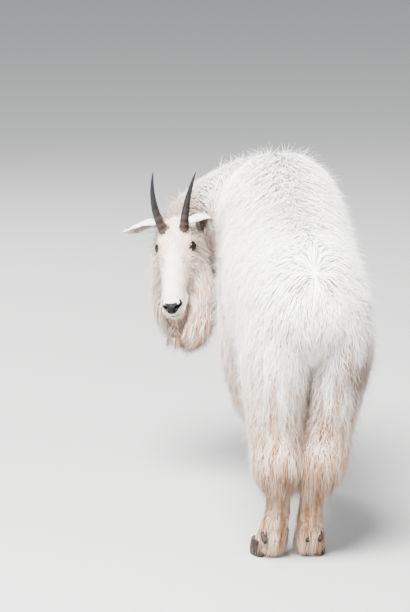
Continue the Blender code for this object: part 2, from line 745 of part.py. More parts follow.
def make_skull():
    """Skull, jaw and lids, with the mouth, the nostrils and the eyes' openings."""
    pieces = [surface_loft("jaw", skull_surface, 7, 12, 1.0, rows=JAW)]
    holes = []
    for side in SIDES:
        sign = -1 if side == "left" else 1
        look = mirrored(EYE_LOOK, sign)
        place_in = mirrored(EYE_PLACE, sign)
        pieces.append(ball("lids", place_in, EYE_RADIUS + LID, 10, 7))
        slit = Vector((sign * -0.30, 0.90, -0.32))
        slit = (slit - look * slit.dot(look)).normalized()
        turn = Matrix((slit, look.cross(slit), look)).transposed().to_4x4()
        hole = ball("opening", Vector(), 1.0, 10, 6)
        reach = Matrix.Diagonal((EYE_SLIT, EYE_OPEN, 0.016, 1.0))
        holes.append(place(hole, Matrix.Translation(place_in + look * 0.016) @ turn @ reach))
        nostril = ball("nostril", Vector(), 1.0, 7, 5)
        lean = Matrix.Rotation(sign * math.radians(38), 4, "Y")
        reach = Matrix.Diagonal((0.0042, 0.009, 0.0095, 1.0))
        at = mirrored(NOSTRIL, sign)
        holes.append(place(nostril, Matrix.Translation(at) @ lean @ reach))
    skull = surface_loft("head", skull_surface, 16, ROUND_HEAD, 1.0)
    boolean(skull, pieces, "UNION")
    boolean(skull, holes + [mouth_groove(), lip_groove()], "DIFFERENCE")
    return place(skull, head_frame())


def mouth_groove():
    """The line of the mouth: a thin ring sector round the muzzle, corner to corner."""
    path = [Vector((x, y, z)) for x, y, z in MOUTH]
    path = [mirrored(p, -1) for p in reversed(path[1:])] + path
    deep = Vector((0, 0.010, 0))
    rings = []
    for p in path:
        inner = Vector((p.x * 0.45, p.y - 0.012, p.z))
        outer = Vector((p.x * 1.5, p.y, p.z)) + deep
        up = Vector((0, 0, MOUTH_GAP))
        rings.append([inner, outer - up, outer + up])
    return loft("mouth", rings)


def lip_groove():
    """The short groove from between the nostrils down to the mouth."""
    rings = []
    for z in (-0.072, -0.084, -0.096):
        rings.append([Vector((0, 0.262, z)), Vector((-0.0022, 0.285, z)),
                      Vector((0.0022, 0.285, z))])
    return loft("groove", rings)


def make_shank(kind, side):
    surface = leg_surface(LOWER_ROWS[kind], LEG_LINES[kind, side])
    return core(f"{kind}leg_lower_{side}", surface, 8, ROUND_LOWER, 1.0)


def foot_frame(kind, side):
    """Where a hoof stands: heel at the origin, toe along +Y."""
    line = LEG_LINES[kind, side]
    heel = -0.442 if kind == "hind" else 0.303
    turn = Matrix.Rotation(math.radians(TOE_OUT[kind, side]), 4, "Z")
    return Matrix.Translation((line[-1][1], heel, 0.0)) @ turn


def make_hoof(kind, side, toe):
    sign = (1 if toe == "outer" else -1) * (1 if side == "right" else -1)
    levels = ((0.0, 1.0, 1.0, 0.0), (0.012, 1.0, 0.99, 0.001),
              (0.032, 0.93, 0.90, 0.003), (HOOF_HEIGHT, 0.80, 0.74, 0.006))
    rings = []
    for z, wide, long, back in levels:
        ring = []
        for j in range(HOOF_SIDES):
            angle = math.tau * j / HOOF_SIDES
            c, s = math.cos(angle), math.sin(angle)
            reach = 0.5 * HOOF_LENGTH * long
            point_in = 1 - 0.45 * max(0.0, s) ** 2
            x = c * (0.5 * HOOF_WIDTH * wide * point_in)
            y = 0.5 * HOOF_LENGTH + back + s * reach - 0.5 * HOOF_LENGTH * (1 - long)
            x += sign * (0.5 * (HOOF_WIDTH + HOOF_SPLIT) + 0.0018 * (y / HOOF_LENGTH))
            ring.append(Vector((x, y, z)))
        rings.append(ring)
    made = loft(f"hoof_{kind}_{side}_{toe}", rings)
    return place(made, foot_frame(kind, side))


def make_dewclaw(kind, side, toe):
    sign = (1 if toe == "outer" else -1) * (1 if side == "right" else -1)
    rings = []
    for f, wide in ((0.0, 0.8), (0.45, 1.0), (0.85, 0.62)):
        ring = []
        for j in range(6):
            angle = math.tau * j / 6
            r = DEWCLAW_RADIUS * wide
            ring.append(Vector((
                sign * 0.017 + r * math.cos(angle),
                -0.006 - 0.030 * f,
                DEWCLAW_HEIGHT - 0.022 * f + r * math.sin(angle))))
        rings.append(ring)
    made = loft(f"dewclaw_{kind}_{side}_{toe}", rings)
    return place(made, foot_frame(kind, side))


def horn_path(side, count):
    """Middle line of a horn: up out of the brow, then back in an even curve."""
    flare, flare_change = HORN_FLARE[side]
    sign = -1 if side == "left" else 1
    sunk = 0.022
    at = Vector((sign * HORN_ROOT.x, HORN_ROOT.y, HORN_ROOT.z - sunk))
    step = (HORN_LENGTH + sunk) / count
    points = []
    for i in range(count + 1):
        f = i / count
        lean = math.radians(HORN_LEAN + HORN_BEND * f)
        outer = flare + flare_change * f
        points.append(at.copy())
        at = at + Vector((sign * outer, -math.sin(lean), math.cos(lean))).normalized() * step
    return points


def make_horn(side):
    count = 14
    path = horn_path(side, count)
    rings = []
    for i, point in enumerate(path):
        f = i / count
        ahead = (path[min(i + 1, count)] - path[max(i - 1, 0)]).normalized()
        across = ahead.cross(Vector((0, 1, 0))).normalized()
        fore = across.cross(ahead)
        radius = HORN_RADIUS * (1 - f) ** 0.72 + 0.0006
        if 0 < i <= 2 * HORN_RINGS:
            radius *= 1.05 if i % 2 else 0.97
        rings.append([point + across * math.cos(a) * radius * 0.94
                      + fore * math.sin(a) * radius * 1.06
                      for a in (math.tau * j / 8 for j in range(8))])
    return place(loft(f"horn_{side}", rings), head_frame())


EAR = [(0.0, 0.30, 0.95), (0.14, 0.52, 0.95), (0.32, 0.88, 0.70), (0.52, 1.0, 0.50),
       (0.72, 0.86, 0.38), (0.88, 0.52, 0.28), (1.0, 0.06, 0.10)]  # share, width, cup depth


def ear_frame(side):
    sign = -1 if side == "left" else 1
    ahead = EAR_AHEAD[side].normalized()
    opening = EAR_OPENING[side].copy()
    opening = (opening - ahead * opening.dot(ahead)).normalized()
    across = opening.cross(ahead)
    root = Vector((sign * 0.043, -0.020, -0.008))
    turn = Matrix((across, opening, ahead)).transposed().to_4x4()
    return head_frame() @ Matrix.Translation(root) @ turn


def make_ear(side):
    """A leaf-shaped cup: rings run round the outside of the cup and back along its inside."""
    sides, wall = 7, 0.0035
    rings = []
    for share, wide, cup in EAR:
        half = 0.5 * EAR_WIDTH * wide
        deep = half * cup
        outer, inner = [], []
        for j in range(sides):
            a = math.pi * j / (sides - 1)
            c, s = math.cos(a), math.sin(a)
            outer.append(Vector((half * c, -deep * s, EAR_LENGTH * share)))
            thin = max(0.2, 1 - wall / half)
            floor = -deep * s + wall * (0.25 + 0.75 * s) * min(1.0, half / 0.01)
            inner.append(Vector((half * c * thin, floor, EAR_LENGTH * share)))
        rings.append(outer + inner[::-1])
    return place(loft(f"ear_{side}", rings, cupped=True), ear_frame(side))


def eye_centre(side):
    return head_frame() @ mirrored(EYE_PLACE, -1 if side == "left" else 1)


def make_eye(side):
    return ball(f"eye_{side}", eye_centre(side), EYE_RADIUS, 12, 8)


def smoothed(obj):
    """Shades an object smooth, with sharp edges where its faces meet steeply."""
    obj.data.shade_smooth()
    obj.data.set_sharp_from_angle(angle=math.radians(SHARP_ANGLE))


def recentred(objects):
    """Moves everything so that the middle of the whole box, on the floor, is the origin."""
    corners = [v.co for obj in objects for v in obj.data.vertices]
    low_x, high_x = min(p.x for p in corners), max(p.x for p in corners)
    low_y, high_y = min(p.y for p in corners), max(p.y for p in corners)
    shift = Matrix.Translation((-(low_x + high_x) / 2, -(low_y + high_y) / 2, 0))
    for obj in objects:
        obj.data.transform(shift)
        smoothed(obj)


def build():
    clear_scene()
    random.seed(SEED)
    coat = material("white_coat", WHITE_COAT, 0.9)
    shank = material("cream_coat", CREAM_COAT, 0.9)
    horn = material("horn", HORN_GREY, 0.45)
    hoof = material("hoof", HOOF_GREY, 0.5)
    eye = material("eye", EYE_BROWN, 0.1)
    made = []

    def add(obj, finish):
        obj.data.materials.clear()
        obj.data.materials.append(finish)
        made.append(obj)
        return obj

    def cut(obj, *others):
        """Cuts an object clear of coats, which bring their own cutters, and of objects."""
        cutters = []
        for other in others:
            cutters += other.cutters() if isinstance(other, Coat) else [grown(other)]
        cutter = cutters.pop()
        if cutters:
            boolean(cutter, cutters, "UNION", False)
        return boolean(obj, [cutter], "DIFFERENCE")

    torso, neck, head = torso_coat(), neck_coat(), head_coat()
    eyes = [add(make_eye(side), eye) for side in SIDES]
    add(torso.joined(), coat)
    add(cut(neck.joined(), torso), coat)
    add(cut(head.joined(), torso, neck, *eyes), coat)
    add(cut(tail_coat().joined(), torso), coat)
    uppers = []
    for side in SIDES:
        add(cut(make_horn(side), head), horn)
        add(cut(make_ear(side), head, neck), coat)
        for kind in ("hind", "fore"):
            upper = leg_coat(kind, side)
            add(cut(upper.joined(), torso, neck, *uppers), coat)
            uppers.append(upper)
            feet = []
            for toe in TOES:
                feet.append(add(make_hoof(kind, side, toe), hoof))
                feet.append(add(make_dewclaw(kind, side, toe), hoof))
            add(cut(make_shank(kind, side), *uppers, *feet), shank)
    recentred(made)


build()
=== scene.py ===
"""The looks of a standing mountain goat in its winter coat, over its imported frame.

Metres, +Z up. The goat faces +Y and its left side is towards -X. One skin covers the whole
body. The coat is made of thin tapered tufts that follow the lie of the hair, joined in
pieces by the part of the body that they grow on.
"""

import math

import bmesh
import bpy
import numpy as np
from mathutils import Matrix, Vector
from mathutils.kdtree import KDTree


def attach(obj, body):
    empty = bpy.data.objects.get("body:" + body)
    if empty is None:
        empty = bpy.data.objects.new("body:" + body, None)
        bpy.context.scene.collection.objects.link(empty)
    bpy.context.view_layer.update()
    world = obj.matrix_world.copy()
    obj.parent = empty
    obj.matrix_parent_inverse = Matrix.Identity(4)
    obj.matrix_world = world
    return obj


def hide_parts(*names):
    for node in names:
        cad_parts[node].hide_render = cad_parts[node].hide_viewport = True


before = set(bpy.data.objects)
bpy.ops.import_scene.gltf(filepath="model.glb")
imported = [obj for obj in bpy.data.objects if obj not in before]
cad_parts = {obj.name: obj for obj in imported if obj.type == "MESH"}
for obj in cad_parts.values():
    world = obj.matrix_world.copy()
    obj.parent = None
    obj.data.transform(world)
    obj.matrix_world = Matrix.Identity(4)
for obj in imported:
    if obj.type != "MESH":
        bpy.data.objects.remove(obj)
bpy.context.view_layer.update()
draw = np.random.default_rng(11)

# The tables below are in the goat's own measures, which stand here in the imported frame
GOAT_PLACE = Vector((0.1232, -0.07756, 0.0))
SIDES = {"left": -1, "right": 1}

HEAD_PLACE = Vector((-0.297, 0.470, 0.769))
HEAD_YAW, HEAD_PITCH, HEAD_ROLL = 168.0, 40.0, 8.7
HORN_LENGTH, HORN_RADIUS = 0.187, 0.0170
HORN_ROOT = Vector((0.0275, 0.014, 0.020))
HORN_LEAN, HORN_BEND, HORN_SUNK = 7.0, 44.0, 0.022
HORN_FLARE = {"right": (0.29, -0.50), "left": (0.22, 0.26)}
EYE_RADIUS = 0.0155
EYE_PLACE = Vector((0.0475, 0.052, -0.0235))
EYE_LOOK = Vector((0.67, 0.47, 0.575)).normalized()
EAR_LENGTH, EAR_WIDTH = 0.125, 0.058
EAR_ROOT = Vector((0.043, -0.020, -0.008))
EAR_AHEAD = {"right": Vector((1.0, 0.0, -0.10)), "left": Vector((-0.66, -0.52, -0.54))}
EAR_OPENING = {"right": Vector((0.05, 0.95, -0.30)), "left": Vector((-0.35, 0.85, -0.40))}
WHORL = np.array((0.015, -0.545, 0.850))
SHANK_COAT = 0.012
TORSO_WIDEST = 0.44

# Torso at the skin: y, top, bottom, half width, then coat depth on top, side and bottom
TORSO = [
    (0.530, 0.745, 0.700, 0.020, 0.030, 0.030, 0.030),
    (0.515, 0.805, 0.630, 0.066, 0.045, 0.040, 0.050),
    (0.470, 0.875, 0.555, 0.100, 0.072, 0.046, 0.070),
    (0.400, 0.932, 0.505, 0.122, 0.088, 0.050, 0.085),
    (0.300, 0.961, 0.480, 0.134, 0.096, 0.050, 0.090),
    (0.170, 0.948, 0.475, 0.139, 0.090, 0.053, 0.095),
    (0.020, 0.912, 0.480, 0.144, 0.070, 0.056, 0.100),
    (-0.130, 0.886, 0.498, 0.142, 0.055, 0.054, 0.095),
    (-0.270, 0.874, 0.525, 0.134, 0.050, 0.050, 0.085),
    (-0.390, 0.850, 0.560, 0.119, 0.048, 0.048, 0.070),
    (-0.465, 0.812, 0.595, 0.095, 0.046, 0.046, 0.050),
    (-0.512, 0.765, 0.640, 0.060, 0.042, 0.042, 0.044),
    (-0.530, 0.715, 0.680, 0.018, 0.034, 0.034, 0.036),
]
# Neck at the skin: x, y, z of its middle, half width, half height, then side and top coat
NECK = [
    (0.000, 0.300, 0.784, 0.100, 0.149, 0.045, 0.084),
    (-0.006, 0.430, 0.790, 0.098, 0.147, 0.045, 0.086),
    (-0.055, 0.530, 0.778, 0.088, 0.136, 0.045, 0.084),
    (-0.135, 0.588, 0.755, 0.078, 0.123, 0.042, 0.080),
    (-0.215, 0.600, 0.730, 0.068, 0.108, 0.038, 0.066),
    (-0.270, 0.565, 0.712, 0.060, 0.094, 0.032, 0.042),
    (-0.288, 0.505, 0.708, 0.052, 0.080, 0.022, 0.022),
]

# Leg shapes at the skin: height, back, front, half width, then coat depth.
# The feet stand apart as the side's own line of middles says.
HIND_UPPER = [
    (0.760, -0.455, -0.240, 0.050, 0.028),
    (0.700, -0.490, -0.195, 0.068, 0.034),
    (0.620, -0.502, -0.172, 0.070, 0.038),
    (0.540, -0.502, -0.175, 0.064, 0.042),
    (0.470, -0.494, -0.205, 0.054, 0.044),
    (0.400, -0.482, -0.275, 0.042, 0.048),
    (0.335, -0.490, -0.350, 0.036, 0.054),
    (0.285, -0.500, -0.398, 0.032, 0.050),
    (0.245, -0.496, -0.414, 0.029, 0.034),
]
HIND_LOWER = [
    (0.320, -0.497, -0.370, 0.034, SHANK_COAT),
    (0.285, -0.506, -0.400, 0.033, SHANK_COAT),
    (0.245, -0.492, -0.418, 0.029, SHANK_COAT),
    (0.190, -0.476, -0.424, 0.025, SHANK_COAT),
    (0.135, -0.468, -0.418, 0.024, SHANK_COAT),
    (0.098, -0.470, -0.404, 0.028, SHANK_COAT),
    (0.068, -0.452, -0.388, 0.027, SHANK_COAT),
    (0.042, -0.442, -0.372, 0.030, SHANK_COAT),
    (0.026, -0.438, -0.366, 0.029, 0.010),
]
FORE_UPPER = [
    (0.800, 0.250, 0.430, 0.050, 0.030),
    (0.720, 0.215, 0.452, 0.060, 0.038),
    (0.620, 0.190, 0.440, 0.060, 0.046),
    (0.530, 0.172, 0.375, 0.053, 0.055),
    (0.450, 0.200, 0.342, 0.046, 0.058),
    (0.380, 0.236, 0.330, 0.039, 0.058),
    (0.320, 0.256, 0.330, 0.035, 0.050),
    (0.275, 0.262, 0.332, 0.034, 0.034),
]
FORE_LOWER = [
    (0.310, 0.258, 0.330, 0.036, SHANK_COAT),
    (0.270, 0.263, 0.335, 0.036, SHANK_COAT),
    (0.230, 0.272, 0.330, 0.031, SHANK_COAT),
    (0.180, 0.284, 0.326, 0.027, SHANK_COAT),
    (0.130, 0.286, 0.328, 0.026, SHANK_COAT),
    (0.096, 0.282, 0.338, 0.030, SHANK_COAT),
    (0.068, 0.298, 0.352, 0.028, SHANK_COAT),
    (0.042, 0.306, 0.368, 0.031, SHANK_COAT),
    (0.026, 0.310, 0.374, 0.030, 0.010),
]
# Middle line of each leg as height and x
LEG_LINES = {
    ("hind", "left"): [(0.76, -0.068), (0.60, -0.080), (0.45, -0.086), (0.34, -0.090),
                       (0.27, -0.089), (0.14, -0.090), (0.09, -0.098), (0.0, -0.117)],
    ("hind", "right"): [(0.76, 0.070), (0.60, 0.088), (0.45, 0.064), (0.34, 0.040),
                        (0.27, 0.024), (0.14, 0.002), (0.09, 0.002), (0.0, 0.010)],
    ("fore", "left"): [(0.80, -0.060), (0.62, -0.084), (0.50, -0.088), (0.40, -0.084),
                       (0.30, -0.060), (0.20, -0.040), (0.09, -0.026), (0.0, -0.021)],
    ("fore", "right"): [(0.80, 0.060), (0.62, 0.086), (0.50, 0.090), (0.40, 0.086),
                        (0.30, 0.080), (0.20, 0.074), (0.09, 0.069), (0.0, 0.066)],
}
TOE_OUT = {("hind", "left"): 10.0, ("hind", "right"): -3.0,
           ("fore", "left"): 5.0, ("fore", "right"): -5.0}  # degrees, towards -X

HOOF_LENGTH, HOOF_WIDTH = 0.086, 0.034
HOOF_SPLIT = 0.006  # space between the two toes
DEWCLAW_RADIUS = 0.0095
DEWCLAW_HEIGHT = 0.072

# Skull and muzzle in the head's frame (y to the nose, z out of the brow):
# y, top, widest level, bottom, half width
SKULL = [
    (-0.062, -0.030, -0.040, -0.052, 0.014),
    (-0.050, -0.006, -0.040, -0.084, 0.036),
    (-0.025, 0.012, -0.038, -0.104, 0.050),
    (0.005, 0.018, -0.034, -0.116, 0.0555),
    (0.040, 0.014, -0.030, -0.118, 0.0565),
    (0.070, 0.005, -0.038, -0.112, 0.0525),
    (0.105, -0.007, -0.050, -0.107, 0.0445),
    (0.145, -0.015, -0.057, -0.104, 0.0385),
    (0.185, -0.021, -0.064, -0.102, 0.0355),
    (0.220, -0.026, -0.068, -0.101, 0.0350),
    (0.245, -0.034, -0.070, -0.099, 0.0320),
    (0.262, -0.046, -0.072, -0.094, 0.0240),
    (0.271, -0.060, -0.073, -0.085, 0.0110),
]
JAW = [
    (0.010, -0.080, -0.100, -0.122, 0.030),
    (0.060, -0.085, -0.104, -0.128, 0.034),
    (0.120, -0.090, -0.108, -0.128, 0.029),
    (0.180, -0.096, -0.111, -0.129, 0.0255),
    (0.222, -0.098, -0.113, -0.131, 0.0250),
    (0.245, -0.100, -0.113, -0.127, 0.0210),
    (0.257, -0.106, -0.113, -0.120, 0.0110),
]
# Beard at its roots, from the throat down: x, y, z of its middle, half width, half depth,
# then how far the hair tips stand beyond it
BEARD = [
    (-0.285, 0.505, 0.740, 0.040, 0.030, 0.030),
    (-0.284, 0.468, 0.680, 0.055, 0.038, 0.042),
    (-0.282, 0.438, 0.620, 0.058, 0.034, 0.046),
    (-0.280, 0.416, 0.575, 0.057, 0.028, 0.046),
    (-0.277, 0.396, 0.540, 0.048, 0.020, 0.042),
    (-0.270, 0.374, 0.512, 0.035, 0.012, 0.034),
    (-0.262, 0.352, 0.492, 0.018, 0.006, 0.018),
]
# Tail: y, z of its middle, half width, half depth
TAIL = [(-0.505, 0.800, 0.026, 0.020), (-0.530, 0.778, 0.023, 0.017),
        (-0.545, 0.745, 0.019, 0.013), (-0.551, 0.705, 0.014, 0.009),
        (-0.552, 0.665, 0.007, 0.005)]
# Ear: share of its length, width and cup depth as shares of the widest
EAR = [(0.0, 0.56, 0.95), (0.14, 0.86, 0.90), (0.32, 1.04, 0.70), (0.52, 1.0, 0.52),
       (0.72, 0.76, 0.40), (0.88, 0.42, 0.30), (1.0, 0.06, 0.10)]

# Nostrils: a comma from the foot of the nose up and out, as points with half widths
NOSTRIL = [(0.0060, 0.2720, -0.0620, 0.0012), (0.0110, 0.2700, -0.0550, 0.0024),
           (0.0165, 0.2660, -0.0505, 0.0036), (0.0230, 0.2590, -0.0490, 0.0036),
           (0.0290, 0.2460, -0.0510, 0.0018)]
# Mouth line in the head's frame, from the middle of the front to the right corner
LIPS = [(0, 0.2720, -0.0830), (0.010, 0.2700, -0.0845), (0.020, 0.2640, -0.0855),
        (0.030, 0.2520, -0.0845), (0.0365, 0.2380, -0.0820), (0.0385, 0.2200, -0.0790)]
# Swellings of the bare head on each side of it, as places and half measures
SWELLINGS = [
    ((0.0165, 0.243, -0.0790), (0.0200, 0.0240, 0.0180)),  # front of the upper lip
    ((0.0250, 0.215, -0.0780), (0.0170, 0.0320, 0.0190)),  # side of the upper lip
    ((0.0210, 0.250, -0.0490), (0.0085, 0.0130, 0.0080)),  # wing of the nostril
    ((0.0310, 0.060, -0.0850), (0.0190, 0.0560, 0.0330)),  # cheek
    ((0.0385, 0.040, -0.0060), (0.0125, 0.0260, 0.0110)),  # brow
    ((0.0285, 0.010, 0.0120), (0.0195, 0.0200, 0.0140)),  # root of the horn
    ((0.0400, -0.018, -0.0140), (0.0170, 0.0180, 0.0200)),  # root of the ear
]
LOWER_LIP = ((0.0150, 0.2400, -0.1000), (0.0180, 0.0225, 0.0135))
MIDDLE_SWELLINGS = [
    ((0, 0.234, -0.1120), (0.0205, 0.0235, 0.0165)),  # chin
    ((0, 0.2500, -0.0990), (0.0175, 0.0190, 0.0125)),  # front of the lower lip
    ((0, 0.256, -0.0600), (0.0165, 0.0165, 0.0180)),  # nose
]
SOCKET_WALL = 0.0020
FACE_COAT, CHEEK_COAT = 0.005, 0.016
RUFF_DEPTH, CHIN_DEPTH, BEARD_FULLNESS = 0.024, 0.008, 1.3
BODY_GRAIN, HEAD_GRAIN = 0.0085, 0.0021  # how fine the skin's triangles are


def pale(red, green, blue):
    """A colour given as a paint chart gives it, from 0 to 255, as light."""
    return tuple((c / 255 / 12.92) if c < 10.3 else ((c / 255 + 0.055) / 1.055) ** 2.4
                 for c in (red, green, blue))


WHITE = pale(248, 246, 244)
CREAM = pale(188, 156, 128)
TAN = pale(146, 108, 82)
# Brown of real stains, also laid as painted shade on the neck side
STAIN_AND_SHADE = pale(108, 78, 58)
BLUSH = pale(160, 124, 100)
NOSE_BLACK = pale(11, 10, 13)
# Ear skin, made darker as painted shade for the hollow of the cup
EAR_SKIN_AND_SHADE = pale(96, 72, 64)
# Markings: the stain on the right thigh in x and z, and the tear marks in the head's frame
STAIN_PLACE, STAIN_SPREAD = (0.115, 0.595), (0.060, 0.075)
TEAR_PLACE, TEAR_SPREAD = (0.031, 0.115), (0.006, 0.014)


# Measures along the tables
def along(rows, share):
    """The columns of a table at shares from 0 to 1 of the way down, on a smooth curve."""
    table = np.array(rows)
    at = np.clip(share, 0.0, 1.0) * (len(table) - 1)
    i = np.minimum(at.astype(int), len(table) - 2)
    f = (at - i)[:, None]
    before, first = table[np.maximum(i - 1, 0)], table[i]
    second, after = table[i + 1], table[np.minimum(i + 2, len(table) - 1)]
    drawn = 0.5 * (2 * first + (second - before) * f
                   + (2 * before - 5 * first + 4 * second - after) * f ** 2
                   + (3 * first - before - 3 * second + after) * f ** 3)
    return drawn.T


def leg_middle(line, z):
    """x of a leg's middle line at heights, eased between its points."""
    x = np.full(len(z), float(line[-1][1]))
    for (high, x_high), (low, x_low) in zip(line[::-1][1:], line[::-1]):
        f = np.clip((high - z) / (high - low), 0.0, 1.0)
        f = f * f * (3 - 2 * f) * 0.5 + f * 0.5
        x = np.where(z >= low, x_high + (x_low - x_high) * f, x)
    return x


def oval(half_width, up, down, angle, power):
    """Points of a superellipse with its own half heights above and below."""
    c, s = np.cos(angle), np.sin(angle)
    k = (np.abs(c) ** power + np.abs(s) ** power) ** (-1 / power)
    return half_width * k * c, np.where(s > 0, up, down) * k * s


def coat_round(angle, top, side, bottom):
    """Depth of the coat round a form that has its own depth on top, side and bottom."""
    s = np.sin(angle)
    return side + s * s * (np.where(s > 0, top, bottom) - side)


def unit(vectors):
    return vectors / np.maximum(np.linalg.norm(vectors, axis=-1, keepdims=True), 1e-9)


def eased(low, high, value):
    """From 0 to 1 while the value goes from low to high, without a corner."""
    f = np.clip((value - low) / (high - low), 0.0, 1.0)
    return f * f * (3 - 2 * f)


# The body's forms: each gives the points at shares along it and angles round it, on the
# skin where the coat's share is 0 and at the tips of the hair where it is 1
def torso_at(share, angle, coat_share):
    y, top, bottom, half, coat_top, coat_side, coat_bottom = along(TORSO, share)
    middle = bottom + TORSO_WIDEST * (top - bottom)
    coat = coat_round(angle, coat_top, coat_side, coat_bottom) * coat_share
    x, z = oval(half + coat, top - middle + coat, middle - bottom + coat, angle, 2.25)
    end = 2 * share - 1
    out = np.sign(-end) * np.maximum(0.0, np.abs(end) - 0.80) / 0.20
    return np.stack((x, y + out * coat, middle + z), 1)


def neck_middle(share):
    return along(NECK, share)[:3].T


def neck_at(share, angle, coat_share):
    x, y, z, half, high, coat_side, coat_top = along(NECK, share)
    ahead = neck_middle(np.minimum(share + 0.01, 1)) - neck_middle(np.maximum(share - 0.01, 0))
    ahead[:, 2] *= 0.3
    ahead = unit(ahead)
    side = unit(np.cross(ahead, (0.0, 0.0, 1.0)))
    coat = coat_round(angle, coat_top, coat_side, coat_side) * coat_share
    out, up = oval(half + coat, high + coat, high + coat, angle, 2.1)
    middle = np.stack((x, y, z), 1)
    return middle + side * out[:, None] + np.cross(side, ahead) * up[:, None]


def leg_at(rows, line):
    def at(share, angle, coat_share):
        z, back, front, half, coat = along(rows, share)
        coat = coat * coat_share
        deep = (front - back) / 2 + coat
        out, fore = oval(half + coat, deep, deep, angle, 2.1)
        return np.stack((leg_middle(line, z) + out, (front + back) / 2 + fore, z), 1)
    return at


def skull_at(rows):
    def at(share, angle, coat_share):
        y, top, middle, bottom, half = along(rows, share)
        rear = np.clip((0.150 - y) / 0.100, 0.0, 1.0)
        low = np.clip((0.35 - np.sin(angle)) / 0.80, 0.0, 1.0)
        coat = (FACE_COAT + CHEEK_COAT * rear * low) * coat_share
        x, z = oval(half + coat, top - middle + coat, middle - bottom + coat, angle, 2.2)
        return np.stack((x, y, middle + z), 1)
    return at


def beard_at(share, angle, coat_share):
    x, y, z, half, deep, coat = along(BEARD, share)
    coat = coat * coat_share
    out, fore = oval(half + coat, deep + coat, deep + coat, angle, 2.0)
    return np.stack((x + out, y + fore, z), 1)


def tail_at(share, angle, coat_share):
    y, z, half, deep = along(TAIL, share)
    y, half, deep = y + 0.014, 0.70 * half, 0.70 * deep
    coat = 0.014 * coat_share
    x, out = oval(half + coat, deep + coat, deep + coat, angle, 2.0)
    tilt = np.radians(20 + 60 * (1 - share))
    return np.stack((x, y - out * np.cos(tilt), z + out * np.sin(tilt) * 0.6), 1)


def ear_at(share, angle, coat_share, wall=0.0035):
    """A leaf-shaped cup: the first half turn is its outside, the second its inside."""
    _, wide, cup = along(EAR, share)
    half = 0.5 * EAR_WIDTH * np.maximum(wide, 0.03)
    deep = half * np.maximum(cup, 0.1)
    inside = angle > math.pi
    a = np.where(inside, math.tau - angle, angle)
    c, s = np.cos(a), np.sin(a)
    thin = np.maximum(0.2, 1 - wall / half)
    floor = -deep * s + wall * (0.25 + 0.75 * s) * np.minimum(1.0, half / 0.01)
    x = half * c * np.where(inside, thin, 1.0)
    y = np.where(inside, floor, -deep * s - 0.004 * coat_share * s)
    return np.stack((x, y, EAR_LENGTH * share), 1)


def head_frame():
    turn = Matrix.Rotation(math.radians(HEAD_YAW), 4, "Z")
    turn = turn @ Matrix.Rotation(math.radians(-HEAD_PITCH), 4, "X")
    turn = turn @ Matrix.Rotation(math.radians(HEAD_ROLL), 4, "Y")
    return Matrix.Translation(HEAD_PLACE) @ turn


def ear_frame(side):
    sign = SIDES[side]
    ahead = EAR_AHEAD[side].normalized()
    opening = EAR_OPENING[side].copy()
    opening = (opening - ahead * opening.dot(ahead)).normalized()
    turn = Matrix((opening.cross(ahead), opening, ahead)).transposed().to_4x4()
    root = Vector((sign * EAR_ROOT.x, EAR_ROOT.y, EAR_ROOT.z))
    return head_frame() @ Matrix.Translation(root) @ turn


def foot_frame(kind, side):
    """Where a foot stands: heel at the origin, toe along +Y."""
    heel = -0.442 if kind == "hind" else 0.303
    turn = Matrix.Rotation(math.radians(TOE_OUT[kind, side]), 4, "Z")
    return Matrix.Translation((LEG_LINES[kind, side][-1][1], heel, 0.0)) @ turn


def mirrored(point, sign):
    return Vector((point.x * sign, point.y, point.z))


def moved(points, matrix):
    matrix = np.array(matrix)
    return points @ matrix[:3, :3].T + matrix[:3, 3]


HEAD = head_frame()
HEAD_BACK = HEAD.inverted()


# Mesh making
def shell(at, along_count, round_count, coat_share=0.0, matrix=None):
    """A closed triangle surface through rings of a form, with a fan at each end."""
    rows = np.repeat(np.linspace(0, 1, along_count + 1), round_count)
    turns = np.tile(np.arange(round_count) * math.tau / round_count, along_count + 1)
    points = at(rows, turns, coat_share)
    if matrix is not None:
        points = moved(points, matrix)
    return rings_closed(points.reshape(along_count + 1, round_count, 3))


def rings_closed(rings):
    count, size = rings.shape[:2]
    i, j = np.meshgrid(np.arange(count - 1), np.arange(size), indexing="ij")
    a, b = (i * size + j).ravel(), (i * size + (j + 1) % size).ravel()
    faces = [np.stack((a, b, b + size), 1), np.stack((a, b + size, a + size), 1)]
    points = [rings.reshape(-1, 3), rings[0].mean(0)[None], rings[-1].mean(0)[None]]
    j = np.arange(size)
    first, last = count * size, count * size + 1
    end = (count - 1) * size
    faces.append(np.stack(((j + 1) % size, j, np.full(size, first)), 1))
    faces.append(np.stack((end + j, end + (j + 1) % size, np.full(size, last)), 1))
    return np.concatenate(points), np.concatenate(faces)


def joined(shells):
    points, faces, start = [], [], 0
    for p, f in shells:
        points.append(p)
        faces.append(f + start)
        start += len(p)
    return np.concatenate(points), np.concatenate(faces)


def piece(name, points, faces):
    """A smooth object of triangles, with its place in its mesh."""
    mesh = bpy.data.meshes.new(name)
    mesh.vertices.add(len(points))
    mesh.vertices.foreach_set("co", np.asarray(points, dtype=np.float32).ravel())
    mesh.loops.add(3 * len(faces))
    mesh.loops.foreach_set("vertex_index", np.asarray(faces, dtype=np.int32).ravel())
    mesh.polygons.add(len(faces))
    mesh.polygons.foreach_set("loop_start", np.arange(len(faces), dtype=np.int32) * 3)
    mesh.update(calc_edges=True)
    mesh.shade_smooth()
    made = bpy.data.objects.new(name, mesh)
    bpy.context.scene.collection.objects.link(made)
    return made


def outward(obj):
    """The object with all its faces turned outwards."""
    shape = bmesh.new()
    shape.from_mesh(obj.data)
    bmesh.ops.recalc_face_normals(shape, faces=shape.faces)
    if shape.calc_volume(signed=True) < 0:
        bmesh.ops.reverse_faces(shape, faces=shape.faces)
    shape.to_mesh(obj.data)
    shape.free()
    return obj


